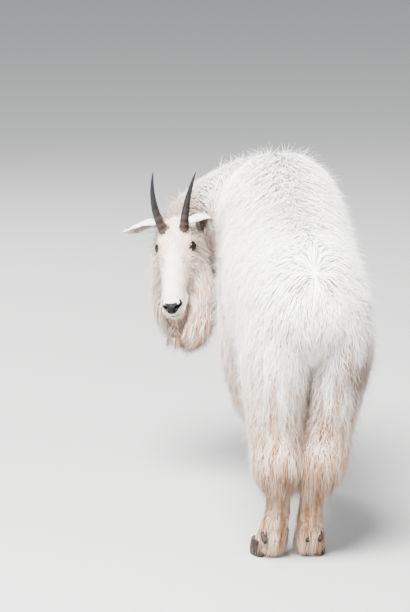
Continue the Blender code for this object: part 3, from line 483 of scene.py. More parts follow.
def keep_number(mesh, name, values):
    """Keeps a number at each point of a mesh, for its finish."""
    values = np.asarray(values, dtype=np.float32)
    mesh.attributes.new(name, "FLOAT", "POINT").data.foreach_set("value", values)


def points_of(mesh):
    points = np.empty(3 * len(mesh.vertices), dtype=np.float32)
    mesh.vertices.foreach_get("co", points)
    return points.reshape(-1, 3).astype(float)


def set_points(obj, points):
    obj.data.vertices.foreach_set("co", np.asarray(points, dtype=np.float32).ravel())
    obj.data.update()


def normals_of(mesh):
    normals = np.empty(3 * len(mesh.vertices), dtype=np.float32)
    mesh.vertex_normals.foreach_get("vector", normals)
    return normals.reshape(-1, 3).astype(float)


def edges_of(mesh):
    edges = np.empty(2 * len(mesh.edges), dtype=np.int32)
    mesh.edges.foreach_get("vertices", edges)
    return edges.reshape(-1, 2)


def relaxed(values, edges, rounds, share=0.5):
    """Values at points, each drawn towards the mean of its neighbours, several times."""
    a, b = edges.T
    count = np.bincount(a, minlength=len(values)) + np.bincount(b, minlength=len(values))
    values = values.copy()
    for _ in range(rounds):
        for k in range(values.shape[1]):
            column = values[:, k]
            total = (np.bincount(a, column[b], len(values))
                     + np.bincount(b, column[a], len(values)))
            values[:, k] = column + share * (total / np.maximum(count, 1) - column)
    return values


def baked_down(obj):
    """Turns what an object's modifiers show into its own plain mesh."""
    graph = bpy.context.evaluated_depsgraph_get()
    mesh = bpy.data.meshes.new_from_object(obj.evaluated_get(graph))
    obj.modifiers.clear()
    obj.data = mesh
    return obj


def fused(name, shells, grain, rounds):
    """One smooth closed surface round several overlapping ones."""
    obj = outward(piece(name, *joined(shells)))
    change = obj.modifiers.new("fuse", "REMESH")
    change.mode = "VOXEL"
    change.voxel_size = grain
    baked_down(obj)
    set_points(obj, relaxed(points_of(obj.data), edges_of(obj.data), rounds))
    return obj


def united(obj, others):
    """Joins closed objects into one closed surface and removes the others."""
    group = bpy.data.collections.new("joined")
    bpy.context.scene.collection.children.link(group)
    for other in others:
        bpy.context.scene.collection.objects.unlink(other)
        group.objects.link(other)
    change = obj.modifiers.new("join", "BOOLEAN")
    change.operation = "UNION"
    change.solver = "MANIFOLD"
    change.operand_type = "COLLECTION"
    change.collection = group
    baked_down(obj)
    for other in others:
        bpy.data.objects.remove(other)
    bpy.data.collections.remove(group)
    return obj


def knob(centre, reach, detail=3):
    """A closed egg shape, as points and triangles."""
    shape = bmesh.new()
    bmesh.ops.create_icosphere(shape, subdivisions=detail, radius=1.0)
    points = np.array([v.co for v in shape.verts]) * reach
    faces = np.array([[v.index for v in f.verts] for f in shape.faces])
    shape.free()
    return points + np.array(centre), faces


def to_line(points, line):
    """Distance of each point to a broken line, and how far along its nearest place is."""
    line = np.asarray(line, dtype=float)
    best = np.full(len(points), 1e9)
    at = np.zeros(len(points))
    for i in range(len(line) - 1):
        a, b = line[i, :3], line[i + 1, :3]
        f = np.clip((points - a) @ (b - a) / ((b - a) @ (b - a)), 0.0, 1.0)
        far = np.linalg.norm(points - (a + f[:, None] * (b - a)), axis=1)
        nearer = far < best
        best = np.where(nearer, far, best)
        at = np.where(nearer, (i + f) / (len(line) - 1), at)
    return best, at


# The head
def eye_frame(sign):
    """Centre, way of looking, way along the slit and way up of an eye, in the head's frame."""
    look = mirrored(EYE_LOOK, sign)
    slit = Vector((sign * -0.30, 0.90, -0.32))
    slit = (slit - look * slit.dot(look)).normalized()
    up = look.cross(slit) * sign
    return mirrored(EYE_PLACE, sign), look, slit, up


SLIT_HALF, LID_UP, LID_DOWN = 0.0118, 0.0104, 0.0090  # half length, and height each way


def lid_ring(sign):
    """The rim of the lids: a rounded band along an almond line on the eyeball."""
    centre, look, slit, up = (np.array(v) for v in eye_frame(sign))
    turn = np.arange(56) * math.tau / 56
    s, c = np.sin(turn), np.cos(turn)
    a = SLIT_HALF * c
    b = np.where(s > 0, LID_UP, LID_DOWN) * s * (1 - 0.28 * c * c)
    radius = EYE_RADIUS + 0.0004
    h = np.sqrt(radius ** 2 - a ** 2 - b ** 2)
    line = centre + look * h[:, None] + slit * a[:, None] + up * b[:, None]
    out = unit(line - centre)
    ahead = unit(np.roll(line, -1, 0) - np.roll(line, 1, 0))
    away = unit(np.cross(ahead, out))
    away *= np.sign(((line - centre - look * h[:, None]) * away).sum(1))[:, None]
    thick = 0.0015 + 0.0008 * np.maximum(0, s)
    rings, sides = [], 10
    for k in range(sides):
        p = k * math.tau / sides
        spot = away * (1.15 + 1.15 * math.cos(p)) + out * (0.15 + 0.95 * math.sin(p))
        rings.append(line + spot * thick[:, None])
    rings = np.stack(rings, 1)
    count, size = rings.shape[:2]
    i, j = np.meshgrid(np.arange(count), np.arange(size), indexing="ij")
    p00, p01 = i * size + j, i * size + (j + 1) % size
    p10, p11 = (i + 1) % count * size + j, (i + 1) % count * size + (j + 1) % size
    faces = np.concatenate((np.stack((p00.ravel(), p01.ravel(), p11.ravel()), 1),
                            np.stack((p00.ravel(), p11.ravel(), p10.ravel()), 1)))
    return rings.reshape(-1, 3), faces


LAID = {}  # the lines of the face, once they lie on the surface of the bare head


def laid_on(line, points):
    """A line through named places, let down onto the nearest points of a surface."""
    line = np.array(line, dtype=float)
    rows = np.linspace(0, len(line) - 1, 6 * len(line))
    fine = np.stack([np.interp(rows, np.arange(len(line)), v) for v in line.T], 1)
    far = np.linalg.norm(fine[:, None, :3] - points[None], axis=2)
    fine[:, :3] = points[far.argmin(1)]
    for _ in range(2):
        fine[1:-1, :3] = (fine[:-2, :3] + 2 * fine[1:-1, :3] + fine[2:, :3]) / 4
    return fine


def mouth_line():
    half = [np.array(p) for p in LIPS]
    return np.array([p * (-1, 1, 1) for p in half[:0:-1]] + half)


def nostril_line(sign):
    return np.array([(x * sign, y, z, w) for x, y, z, w in NOSTRIL])


def shape_head():
    """The bare head in its own frame: skull, jaw, cheeks, brows, lips, nose and lids."""
    shells = [shell(skull_at(SKULL), 60, 48), shell(skull_at(JAW), 40, 32)]
    for sign in (-1, 1):
        shells += [knob((sign * x, y, z), reach) for (x, y, z), reach in SWELLINGS]
        shells.append(knob(mirrored(EYE_PLACE, sign), (EYE_RADIUS + SOCKET_WALL,) * 3))
        (x, y, z), reach = LOWER_LIP
        shells.append(knob((sign * x, y, z), reach))
    shells += [knob(place, reach) for place, reach in MIDDLE_SWELLINGS]
    head = fused("head", shells, HEAD_GRAIN, 5)
    points, normals = points_of(head.data), normals_of(head.data)
    LAID["mouth"] = laid_on(mouth_line(), points)
    for sign in (-1, 1):
        LAID[sign] = laid_on(nostril_line(sign), points)
    far, _ = to_line(points, LAID["mouth"])
    push = -0.0022 * np.exp(-(far / 0.0019) ** 2)
    push += 0.0012 * np.exp(-((far - 0.0050) / 0.0024) ** 2)
    lip, _ = to_line(points, [(0, 0.274, -0.066), (0, 0.272, -0.080)])
    push -= 0.0022 * np.exp(-(lip / 0.0016) ** 2)
    for sign in (-1, 1):
        line = LAID[sign]
        far, at = to_line(points, line)
        wide = np.interp(at, np.linspace(0, 1, len(line)), line[:, 3])
        push -= 0.0085 * np.exp(-(far / wide) ** 4) * (wide / 0.0036)
        push += 0.0014 * np.exp(-((far - wide - 0.0026) / 0.0022) ** 2)
    points += normals * push[:, None]
    for sign in (-1, 1):
        centre, look, slit, up = (np.array(v) for v in eye_frame(sign))
        local = points - centre
        a, b, h = local @ slit, local @ up, local @ look
        e = np.sqrt((a / (SLIT_HALF + 0.0012)) ** 2
                    + (b / np.where(b > 0, LID_UP + 0.001, LID_DOWN + 0.001)) ** 2)
        ball = np.sqrt(np.maximum(EYE_RADIUS ** 2 - a ** 2 - b ** 2, 0.0))
        deep = ball - 0.0042 * (1 - eased(0.75, 1.05, e))
        inside = (e < 1.05) & (h > 0)
        points = np.where(inside[:, None], points + look * (deep - h)[:, None], points)
        crease = np.exp(-((e - 1.62) / 0.16) ** 2) * (h > 0) * (b > 0)
        points -= look * (0.0011 * crease)[:, None]
        duct, _ = to_line(points, [centre + look * 0.006 + slit * 0.016 - up * 0.004,
                                   centre + look * 0.002 + slit * 0.030 - up * 0.010])
        points -= look * (0.0012 * np.exp(-(duct / 0.003) ** 2))[:, None]
    set_points(head, points)
    rims = [outward(piece("rim", *lid_ring(sign))) for sign in (-1, 1)]
    united(head, rims)
    head.data.transform(HEAD)
    return head


# How the hair lies on each form: ways along which it points, at places on the body
def torso_lie(p):
    """Back and down, and out in all ways from the whorl on the rump."""
    side = np.clip(p[:, 0] / 0.12, -1, 1)
    way = np.stack((0.30 * side, np.full(len(p), -0.62), np.full(len(p), -0.72)), 1)
    spread = p - WHORL
    near = np.maximum(0.0, 1 - np.linalg.norm(spread, axis=1) / 0.34)[:, None]
    away = unit(spread) + (0, 0, -0.35)
    front = np.clip((p[:, 1] - 0.42) / 0.10, 0, 1)[:, None]
    way = way * (1 - front) + np.array((0, 0, -1)) * front
    return unit(way * (1 - near) + away * near)


def neck_lie(p):
    """Down, and back from the head towards the shoulders."""
    shares = np.linspace(0, 1, 25)
    middles = neck_middle(shares)
    nearest = np.linalg.norm(p[:, None] - middles[None], axis=2).argmin(1)
    ahead = unit(np.gradient(middles, axis=0))[nearest]
    return unit(np.array((0, 0, -0.75)) - ahead * 0.8)


def leg_lie(p):
    return np.tile(unit(np.array((0.0, -0.10, -1.0))), (len(p), 1))


def head_lie(p):
    """From the nose back over the face, and down on the cheeks."""
    local = moved(p, HEAD_BACK)
    x, y, z = local.T
    low = eased(-0.055, -0.10, z)
    way = np.stack((0.25 * np.sign(x) * (np.abs(x) > 0.012), -1 + 0 * y, -0.10 - 0.7 * low), 1)
    return unit(way @ np.array(HEAD)[:3, :3].T)


def beard_lie(p):
    """Down and forward, drawn in towards the beard's tip."""
    return unit(np.stack((0.10 + 0.8 * (-0.243 - p[:, 0]), np.full(len(p), -0.42),
                          np.full(len(p), -1.0)), 1))


def tail_lie(p):
    return leg_lie(p)


def ear_lie(side):
    """Along the ear, from its root to its tip."""
    ahead = np.array(ear_frame(side))[:3, 2]
    return lambda p: np.tile(ahead, (len(p), 1))


# Each form: surface, lie, rows and turns, how much longer the hair is for the coat's depth,
# its least length, tufts on a square metre and their width
FORMS = {
    "torso": (torso_at, torso_lie, (130, 72), 0.75, 0.050, 52000, 0.0034),
    "neck": (neck_at, neck_lie, (44, 48), 0.75, 0.045, 40000, 0.0036),
    "beard": (beard_at, beard_lie, (40, 36), 1.05, 0.060, 90000, 0.0030),
    "tail": (tail_at, tail_lie, (24, 20), 1.50, 0.050, 60000, 0.0034),
    "skull": (skull_at(SKULL), head_lie, (60, 48), 1.5, 0.0040, 130000, 0.0021),
    "jaw": (skull_at(JAW), head_lie, (40, 32), 1.5, 0.0060, 120000, 0.0024),
}
for side in SIDES:
    for kind, upper, lower in (("hind", HIND_UPPER, HIND_LOWER), ("fore", FORE_UPPER, FORE_LOWER)):
        line = LEG_LINES[kind, side]
        FORMS[f"{kind}leg_upper_{side}"] = (
            leg_at(upper, line), leg_lie, (56, 44), 1.10, 0.055, 46000, 0.0034)
        FORMS[f"{kind}leg_lower_{side}"] = (
            leg_at(lower, line), leg_lie, (50, 24), 1.3, 0.020, 90000, 0.0028)
    FORMS[f"ear_{side}"] = (ear_at, ear_lie(side), (40, 48), 0.0, 0.020, 130000, 0.0022)
FORM_NAMES = list(FORMS)


def form_matrix(name):
    """The frame that a form is measured in, or None for the goat's own."""
    if name in ("skull", "jaw"):
        return HEAD
    return ear_frame(name[4:]) if name.startswith("ear_") else None


def make_skin():
    """The whole bare body as one closed surface: trunk and legs, head, lids and ears."""
    body = [shell(FORMS[name][0], *FORMS[name][2]) for name in FORM_NAMES
            if form_matrix(name) is None]
    skin = fused("skin", body, BODY_GRAIN, 5)
    ears = []
    for side in SIDES:
        at, _, grid, *_ = FORMS[f"ear_{side}"]
        rows, turns = np.linspace(0, 1, grid[0] + 1), np.linspace(0, math.tau, grid[1] + 1)[:-1]
        rings = moved(at(np.repeat(rows, grid[1]), np.tile(turns, grid[0] + 1), 0.0),
                      ear_frame(side)).reshape(grid[0] + 1, grid[1], 3)
        ears.append(outward(piece("ear", *rings_closed(rings))))
    united(skin, [shape_head(), *ears])
    shape = bmesh.new()
    shape.from_mesh(skin.data)
    bmesh.ops.triangulate(shape, faces=shape.faces)
    shape.to_mesh(skin.data)
    shape.free()
    return skin


HEAD_AHEAD = np.array(HEAD)[:3, 1]


def tree_of(points):
    """A search tree over points."""
    tree = KDTree(len(points))
    for i, p in enumerate(points):
        tree.insert(p, i)
    tree.balance()
    return tree


def coat_samples():
    """Places all over the forms, with their form, coat depth and lie."""
    places, forms, depths, lies = [], [], [], []
    for k, name in enumerate(FORM_NAMES):
        at, lie, (rows, turns), *_ = FORMS[name]
        share = np.repeat(np.linspace(0.004, 0.996, rows), turns)
        angle = np.tile(np.arange(turns) * math.tau / turns, rows)
        bare, full = at(share, angle, 0.0), at(share, angle, 0.5 if name == "tail" else 1.0)
        matrix = form_matrix(name)
        if matrix is not None:
            bare, full = moved(bare, matrix), moved(full, matrix)
        places.append(bare)
        forms.append(np.full(len(bare), k))
        depths.append(np.linalg.norm(full - bare, axis=1))
        lies.append(lie(bare))
    return [np.concatenate(part) for part in (places, forms, depths, lies)]


class Hide:
    """The skin's points with what grows on them: form, coat depth and lie of the hair."""

    def __init__(self, skin):
        mesh = skin.data
        self.points, self.normals = points_of(mesh), normals_of(mesh)
        faces = np.empty(3 * len(mesh.polygons), dtype=np.int32)
        mesh.polygons.foreach_get("vertices", faces)
        self.faces = faces.reshape(-1, 3)
        self.edges = edges_of(mesh)
        places, forms, depths, lies = coat_samples()
        samples = tree_of(places)
        nearest = np.array([samples.find(p)[1] for p in self.points])
        self.form, depth, lie = forms[nearest], depths[nearest], lies[nearest]
        local = moved(self.points, HEAD_BACK)
        lx, ly, lz = local.T
        head = np.isin(self.form, [FORM_NAMES.index("skull"), FORM_NAMES.index("jaw")])
        below = lz + 0.020 + 0.40 * np.maximum(0.0, ly - 0.075)
        self.ruff = head * eased(0.225, 0.170, ly) * eased(0.0, -0.024, below)
        self.ruff *= eased(0.012, 0.026, np.abs(lx))
        self.chin = head * eased(-0.100, -0.109, lz) * eased(0.06, 0.10, ly) * (1 - self.ruff)
        depth = depth + RUFF_DEPTH * self.ruff + CHIN_DEPTH * self.chin
        depth[self.form == FORM_NAMES.index("beard")] *= BEARD_FULLNESS
        long = np.maximum(self.ruff, self.chin)[:, None]
        lie = lie * (1 - long) + long * unit(np.array((0.0, 0.0, -1.0)) - HEAD_AHEAD * 0.35)
        eased_in = relaxed(np.column_stack((depth, lie)), self.edges, 14)
        self.depth, lie = eased_in[:, 0], eased_in[:, 1:]
        self.soft = unit(relaxed(self.normals, self.edges, 10))
        lie -= self.soft * (lie * self.soft).sum(1)[:, None]
        self.steep = np.linalg.norm(lie, axis=1)
        self.lie = unit(lie)
        self.tree = tree_of(self.points)
        corners = self.points[self.faces]
        self.area = np.linalg.norm(np.cross(corners[:, 1] - corners[:, 0],
                                            corners[:, 2] - corners[:, 0]), axis=1) / 2
        self.face_form = self.form[self.faces[:, 0]]

    def roots(self, face_share, count):
        """Places spread over the faces, as faces and shares of their corners."""
        chance = self.area * face_share
        face = draw.choice(len(chance), size=count, p=chance / chance.sum())
        a, b = draw.random(count), draw.random(count)
        flip = a + b > 1
        a, b = np.where(flip, 1 - a, a), np.where(flip, 1 - b, b)
        return self.faces[face], np.stack((1 - a - b, a, b), 1)

    @staticmethod
    def mixed(values, corners, shares):
        """Values at places inside the faces, from those at their corners."""
        return (values[corners] * shares[..., None]).sum(1)

    def nearest(self, points):
        return np.array([self.tree.find(p)[1] for p in points])


def nose_pad(local, margin=0.0):
    """1 on the bare nose: a wide black V between the nostrils, narrow at the lip."""
    x, y, z = local.T
    wide = np.abs(x) / (0.0310 + margin)
    top, low = -0.0400 - 0.004 * wide ** 2 + margin, -0.0720 + 0.021 * wide ** 1.5 - margin
    return (eased(-0.001, 0.001, top - z) * eased(-0.001, 0.001, z - low)
            * (wide < 1) * eased(0.236, 0.240, y + margin + 0.010 * (1 - wide)) * (y < 0.30))


LID_MARGIN = 0.0042  # bare skin before and behind each eye's slit


def eye_share(local, sign, along_margin, across_margin):
    """How far places are out from an eye's middle, 1 at the rim of its bare skin, and
    whether they are on its front."""
    centre, look, slit, up = (np.array(v) for v in eye_frame(sign))
    a, b = (local - centre) @ slit, (local - centre) @ up
    out = np.sqrt((a / (SLIT_HALF + along_margin)) ** 2 + (b / (LID_UP + across_margin)) ** 2)
    return out, (local - centre) @ look > 0


def bare_places(points):
    """1 where no hair grows: the nose, the nostrils, the lids and the horns' roots."""
    local = moved(points, HEAD_BACK)
    bare = np.zeros(len(points))
    for sign in (-1, 1):
        far, _ = to_line(local, LAID[sign][:, :3])
        bare = np.maximum(bare, 1 - eased(0.0075, 0.0105, far))
        out, front = eye_share(local, sign, LID_MARGIN, 0.0034)
        bare = np.maximum(bare, (1 - eased(1.0, 1.12, out)) * front)
        root = horn_path("left" if sign < 0 else "right", 8)
        far, _ = to_line(local, [tuple(p) for p in root[:4]])
        bare = np.maximum(bare, 1 - eased(0.0150, 0.0165, far))
    far, _ = to_line(local, LAID["mouth"])
    bare = np.maximum(bare, 1 - eased(0.0070, 0.0085, far))
    return np.maximum(bare, nose_pad(local, 0.003))


def horn_path(side, count):
    """Middle line of a horn: up out of the brow, then back in an even curve."""
    flare, flare_change = HORN_FLARE[side]
    sign = SIDES[side]
    at = Vector((sign * HORN_ROOT.x, HORN_ROOT.y, HORN_ROOT.z - HORN_SUNK))
    step = (HORN_LENGTH + HORN_SUNK) / count
    points = []
    for i in range(count + 1):
        f = i / count
        lean = math.radians(HORN_LEAN + HORN_BEND * f)
        outer = flare + flare_change * f
        points.append(at.copy())
        at = at + Vector((sign * outer, -math.sin(lean), math.cos(lean))).normalized() * step
    return points


class Paint:
    """Colours at points, white at first, with markings and painted shade laid over them."""

    def __init__(self, count):
        self.colour = np.tile(np.array(WHITE), (count, 1))

    def lay(self, colour, share):
        share = np.clip(share, 0, 1)[:, None]
        self.colour = self.colour * (1 - share) + np.array(colour) * share


def mark_body(paint, points, names):
    """Cream legs, painted shade between the thighs, a stain beside them, and the brown of the
    neck, which is painted shade with some dirt.
    """
    x, y, z = points.T
    hind = (y < -0.15) * (z < 0.75)
    paint.lay(CREAM, 0.75 * eased(0.66, 0.36, z) * hind)
    paint.lay(CREAM, 0.6 * eased(0.60, 0.42, z) * (1 - hind))
    # Painted shade between the hind legs, laid in tan
    inner = np.exp(-((x + 0.01) / 0.05) ** 2) * eased(0.62, 0.50, z) * eased(0.12, 0.34, z)
    paint.lay(TAN, 0.55 * inner * (y < -0.3))
    lower = np.char.find(names.astype(str), "lower") > 0
    paint.lay(CREAM, 0.85 * lower * eased(0.05, 0.12, z))
    paint.lay(TAN, 0.5 * eased(0.36, 0.27, z) * eased(0.17, 0.25, z) * hind)
    (at_x, at_z), (wide, high) = STAIN_PLACE, STAIN_SPREAD
    stain = np.exp(-(((x - at_x) / wide) ** 2 + ((z - at_z) / high) ** 2)) * (y < -0.30)
    paint.lay(STAIN_AND_SHADE, 0.9 * stain)
    # The brown on the neck side and in the crease behind the cheek is painted shade, with some
    # dirt
    ahead = y - 0.05 - 0.45 * np.maximum(0.0, 0.86 - z)
    neck_shade_and_dirt = ((names == "neck") | (names == "torso")) * eased(0.0, 0.07, ahead) * (z > 0.5)
    shade_top = 0.84 + 0.06 * eased(0.40, 0.26, y)
    neck_shade_and_dirt *= 1 - 0.90 * (names == "torso") * eased(0.24, 0.12, y)
    paint.lay(STAIN_AND_SHADE, 0.90 * neck_shade_and_dirt * eased(-0.05, -0.10, x) * eased(0.05, -0.05, z - shade_top))
    paint.lay(STAIN_AND_SHADE, 0.9 * neck_shade_and_dirt * eased(-0.10, -0.15, x) * eased(0.80, 0.74, z))
    beard = names == "beard"
    paint.lay(BLUSH, 0.95 * beard)
    paint.lay(TAN, 0.30 * beard)


def mark_face(paint, local, head):
    """A white face that is cream on the cheeks and the brow, with a tear mark by each eye."""
    lx, ly, lz = local.T
    paint.lay(CREAM, 0.50 * head)
    cheek = eased(0.010, 0.040, np.abs(lx)) * eased(0.24, 0.18, ly)
    paint.lay(CREAM, 0.85 * head * cheek)
    paint.lay(TAN, 0.22 * head * cheek)
    brow = eased(-0.06, -0.01, lz)
    paint.lay(CREAM, 0.7 * head * eased(0.13, 0.03, ly) * brow)
    paint.lay(TAN, 0.16 * head * eased(0.12, 0.02, ly) * brow)
    (at_x, at_y), (wide, long) = TEAR_PLACE, TEAR_SPREAD
    tear = np.exp(-(((np.abs(lx) - at_x) / wide) ** 2 + ((ly - at_y) / long) ** 2))
    paint.lay(STAIN_AND_SHADE, 0.7 * head * tear)
    paint.lay(BLUSH, 0.9 * head * eased(-0.096, -0.106, lz) * eased(0.275, 0.262, ly))


def mark_ears(paint, points, normals, names):
    """The dark bare cup of each ear: its skin, darkened with painted shade in the hollow."""
    for side in SIDES:
        inside = moved(points, ear_frame(side).inverted())
        opening = np.array(ear_frame(side))[:3, 1]
        # Painted shade in the hollow of the cup, over the skin's own colour
        cup = eased(0.15, 0.45, normals @ opening) * eased(0.024, 0.015, np.abs(inside[:, 0]))
        paint.lay(EAR_SKIN_AND_SHADE, 0.85 * (names == f"ear_{side}") * cup
                  * eased(0.0, 0.012, inside[:, 2]) * eased(0.118, 0.09, inside[:, 2]))


def mark_dark_parts(paint, local, head):
    """Black nostrils, lids, glands beside the horns, nose and mouth line."""
    lx, ly, lz = local.T
    near_head = (ly > -0.06) * (ly < 0.30) * (np.abs(lx) < 0.08) * (lz > -0.14) * (lz < 0.06)
    for sign in (-1, 1):
        far, _ = to_line(local, LAID[sign][:, :3])
        paint.lay(NOSE_BLACK, near_head * (1 - eased(0.0065, 0.0095, far)))
        out, front = eye_share(local, sign, LID_MARGIN, 0.0030)
        paint.lay(NOSE_BLACK, near_head * front * (1 - eased(0.98, 1.14, out)))
        root = np.array(horn_path("left" if sign < 0 else "right", 8)[1])
        ring = np.linalg.norm((local - root)[:, :2], axis=1)
        near = 0.6 * (ly - root[1]) + 0.8 * (lx - root[0])
        gland = (1 - eased(0.0220, 0.0245, ring)) * eased(-0.004, -0.012, near)
        paint.lay(NOSE_BLACK, 0.9 * head * gland * (lz > -0.03))
    paint.lay(NOSE_BLACK, nose_pad(local))
    far, _ = to_line(local, LAID["mouth"])
    paint.lay(NOSE_BLACK, 0.95 * near_head * (1 - eased(0.0030, 0.0046, far)))


def colours_at(points, normals, form):
    """The coat's markings and painted shade, for the skin and the hair alike."""
    names = np.array(FORM_NAMES)[form]
    local = moved(points, HEAD_BACK)
    head = (names == "skull") | (names == "jaw")
    paint = Paint(len(points))
    mark_body(paint, points, names)
    mark_face(paint, local, head)
    mark_ears(paint, points, normals, names)
    mark_dark_parts(paint, local, head)
    return paint.colour


# Hair
def tufts(paths, outs, widths, soft, colours, root_uv, tones):
    """Closed three-sided tapered tufts along their paths, as a dict of arrays."""
    steps, count = paths.shape[:2]
    rings, normals = [], []
    ahead = np.empty_like(paths)
    ahead[0], ahead[-1] = paths[1] - paths[0], paths[-1] - paths[-2]
    ahead[1:-1] = paths[2:] - paths[:-2]
    ahead = unit(ahead)
    for i in range(steps - 1):
        f = i / (steps - 1)
        across = unit(np.cross(ahead[i], outs[i]))
        out = unit(np.cross(across, ahead[i]))
        half = 0.5 * widths * (0.62 + 0.75 * f) * (1 - f ** 2.2) ** 0.8
        half = half[:, None]
        top = outs[i] * soft + out * (1 - soft)
        rings.append(np.stack((paths[i] - across * half, paths[i] + across * half,
                               paths[i] + out * half * 0.55), 1))
        lean = unit(across * 0.55 + 1e-9)
        normals.append(np.stack((unit(top - lean * 0.5), unit(top + lean * 0.5), unit(top)), 1))
    size = 3 * (steps - 1) + 1
    points = np.concatenate([r for r in rings] + [paths[-1][:, None]], 1)
    normal = np.concatenate([n for n in normals] + [unit(outs[-1])[:, None]], 1)
    faces = [(0, 1, 2)]
    for i in range(steps - 2):
        for j in range(3):
            a, b = i * 3 + j, i * 3 + (j + 1) % 3
            faces += [(a, a + 3, b + 3), (a, b + 3, b)]
    top = 3 * (steps - 2)
    faces += [(top + j, size - 1, top + (j + 1) % 3) for j in range(3)]
    faces = np.array(faces)[None] + (np.arange(count) * size)[:, None, None]
    reach = np.append(np.repeat(np.arange(steps - 1), 3), steps - 1) / (steps - 1)
    side = np.append(np.tile((0.0, 1.0, 0.5), steps - 1), 0.5)
    patch = np.stack((side, reach), 1) * PATCH
    return {
        "points": points.reshape(-1, 3), "faces": faces.reshape(-1, 3),
        "normals": normal.reshape(-1, 3),
        "uv": (root_uv[:, None] + patch[None]).reshape(-1, 2),
        "reach": np.tile(reach, count), "tone": np.repeat(tones, size),
        "colour": np.repeat(colours, size, 0),
    }


PATCH = 0.003  # side of each tuft's patch on the map


def box_unwrap(points, normals):
    """The skin of one part opened out on six sides, laid beside each other."""
    low, high = points.min(0), points.max(0)
    scale = 1 / max(high - low)
    local = (points - low) * scale
    axis = np.abs(normals).argmax(1)
    sign = np.take_along_axis(normals, axis[:, None], 1)[:, 0] > 0
    u = np.where(axis == 0, local[:, 1], local[:, 0])
    v = np.where(axis == 2, local[:, 1], local[:, 2])
    cell = axis * 2 + sign
    column, row = cell % 3, cell // 3
    return np.stack(((column + 0.01 + 0.97 * u) / 3, (row + 0.01 + 0.97 * v) / 2), 1) * 0.99


def grow(hide, face_share, width_share=1.0, stand=1.0, length_share=1.0, density=1.0,
         steps=2, pull=0.35, hang=0.0, wander=14.0, flat=0.45, loose=0.0, mottle=0.0,
         longest=1.0, proud=0.0):
    """Hair over a part of the hide: tufts from the skin out to the coat's full depth.

    The shares scale what the forms say. stand is how far out the tips come, flat how soon a
    tuft lies down, pull how far it joins its clump, wander the turn off its lie in degrees,
    hang and loose how it droops, mottle how much turns white, longest its greatest length
    and proud how far its tip stands off the coat.
    """
    forms = np.arange(len(FORM_NAMES))
    per_area = np.array([FORMS[n][5] for n in FORM_NAMES])[forms]
    weight = face_share * per_area[hide.face_form]
    count = int((hide.area * weight).sum() * density)
    if not count:
        return None
    corners, shares = hide.roots(weight, count)
    root = hide.mixed(hide.points, corners, shares)
    keep = draw.random(count) > bare_places(root)
    corners, shares, root = corners[keep], shares[keep], root[keep]
    count = len(root)
    normal = unit(hide.mixed(hide.soft, corners, shares))
    lie = unit(hide.mixed(hide.lie, corners, shares))
    depth = hide.mixed(hide.depth[:, None], corners, shares)[:, 0]
    form = hide.form[corners[:, 0]]
    per_depth = np.array([FORMS[n][3] for n in FORM_NAMES])[form]
    least = np.array([FORMS[n][4] for n in FORM_NAMES])[form]
    width = np.array([FORMS[n][6] for n in FORM_NAMES])[form]
    length = (least + per_depth * depth) * draw.uniform(0.78, 1.15, count) * length_share
    length = np.minimum(length, longest * draw.uniform(0.75, 1.0, count))
    stands = stand * draw.uniform(0.80, 1.06, count)
    turn = np.radians(draw.normal(0, wander, count))
    free = loose * (1 - hide.mixed(hide.steep[:, None], corners, shares)[:, 0])
    base, base_normal, way = root.copy(), normal.copy(), lie
    paths, outs = [], []
    low = np.array((0.0, 0.0, -1.0))
    for i in range(steps + 1):
        f = i / steps
        rise = depth * (-0.04 if i == 0 else stands * f ** flat) + proud * f * f
        drop = (hang * f + free) * f * length
        paths.append(base + base_normal * rise[:, None] + low * drop[:, None])
        outs.append(unit(base_normal * (1, 1, 1 - 0.7 * loose) - low * (0.2 + 0.4 * loose)))
        if i == steps:
            break
        side = np.cross(base_normal, way)
        step_way = way * np.cos(turn)[:, None] + side * np.sin(turn)[:, None]
        base = base + step_way * (length / steps * 0.86 * (1 - 0.7 * free))[:, None]
        near = hide.nearest(base)
        ground, up = hide.points[near], hide.soft[near]
        off = ((base - ground) * up).sum(1)
        base = base - up * off[:, None]
        base_normal = unit(base_normal * 0.5 + up * 0.5)
        new_way = hide.lie[near]
        new_way = np.where((new_way * way).sum(1)[:, None] > 0.2, new_way, way)
        way = unit(way * 0.4 + new_way * 0.6)
        way = unit(way - base_normal * (way * base_normal).sum(1)[:, None])
    paths, outs = np.array(paths), np.array(outs)
    tone = draw.normal(0, 1, count)
    if pull:
        leaders = draw.choice(count, size=max(1, count // 22), replace=False)
        tree = tree_of(root[leaders])
        lead = leaders[np.array([tree.find(p)[1] for p in root])]
        tone = 0.8 * tone[lead] + 0.6 * tone
        for i in range(1, steps + 1):
            f = i / steps
            share = pull * f ** 1.3
            gap = paths[i][lead] - paths[i]
            near = np.exp(-(np.linalg.norm(gap, axis=1) / 0.05) ** 2)[:, None]
            paths[i] = paths[i] + gap * share * near
    paths[:, :, 2] = np.maximum(paths[:, :, 2], 0.003)
    colour = colours_at(root, normal, form)
    pale_share = (mottle * draw.random(count) ** 2)[:, None]
    colour = colour * (1 - pale_share) + np.array(WHITE) * pale_share
    return tufts(paths, outs, width * width_share * draw.uniform(0.75, 1.25, count), 0.75,
                 colour, box_unwrap(root, normal), tone)


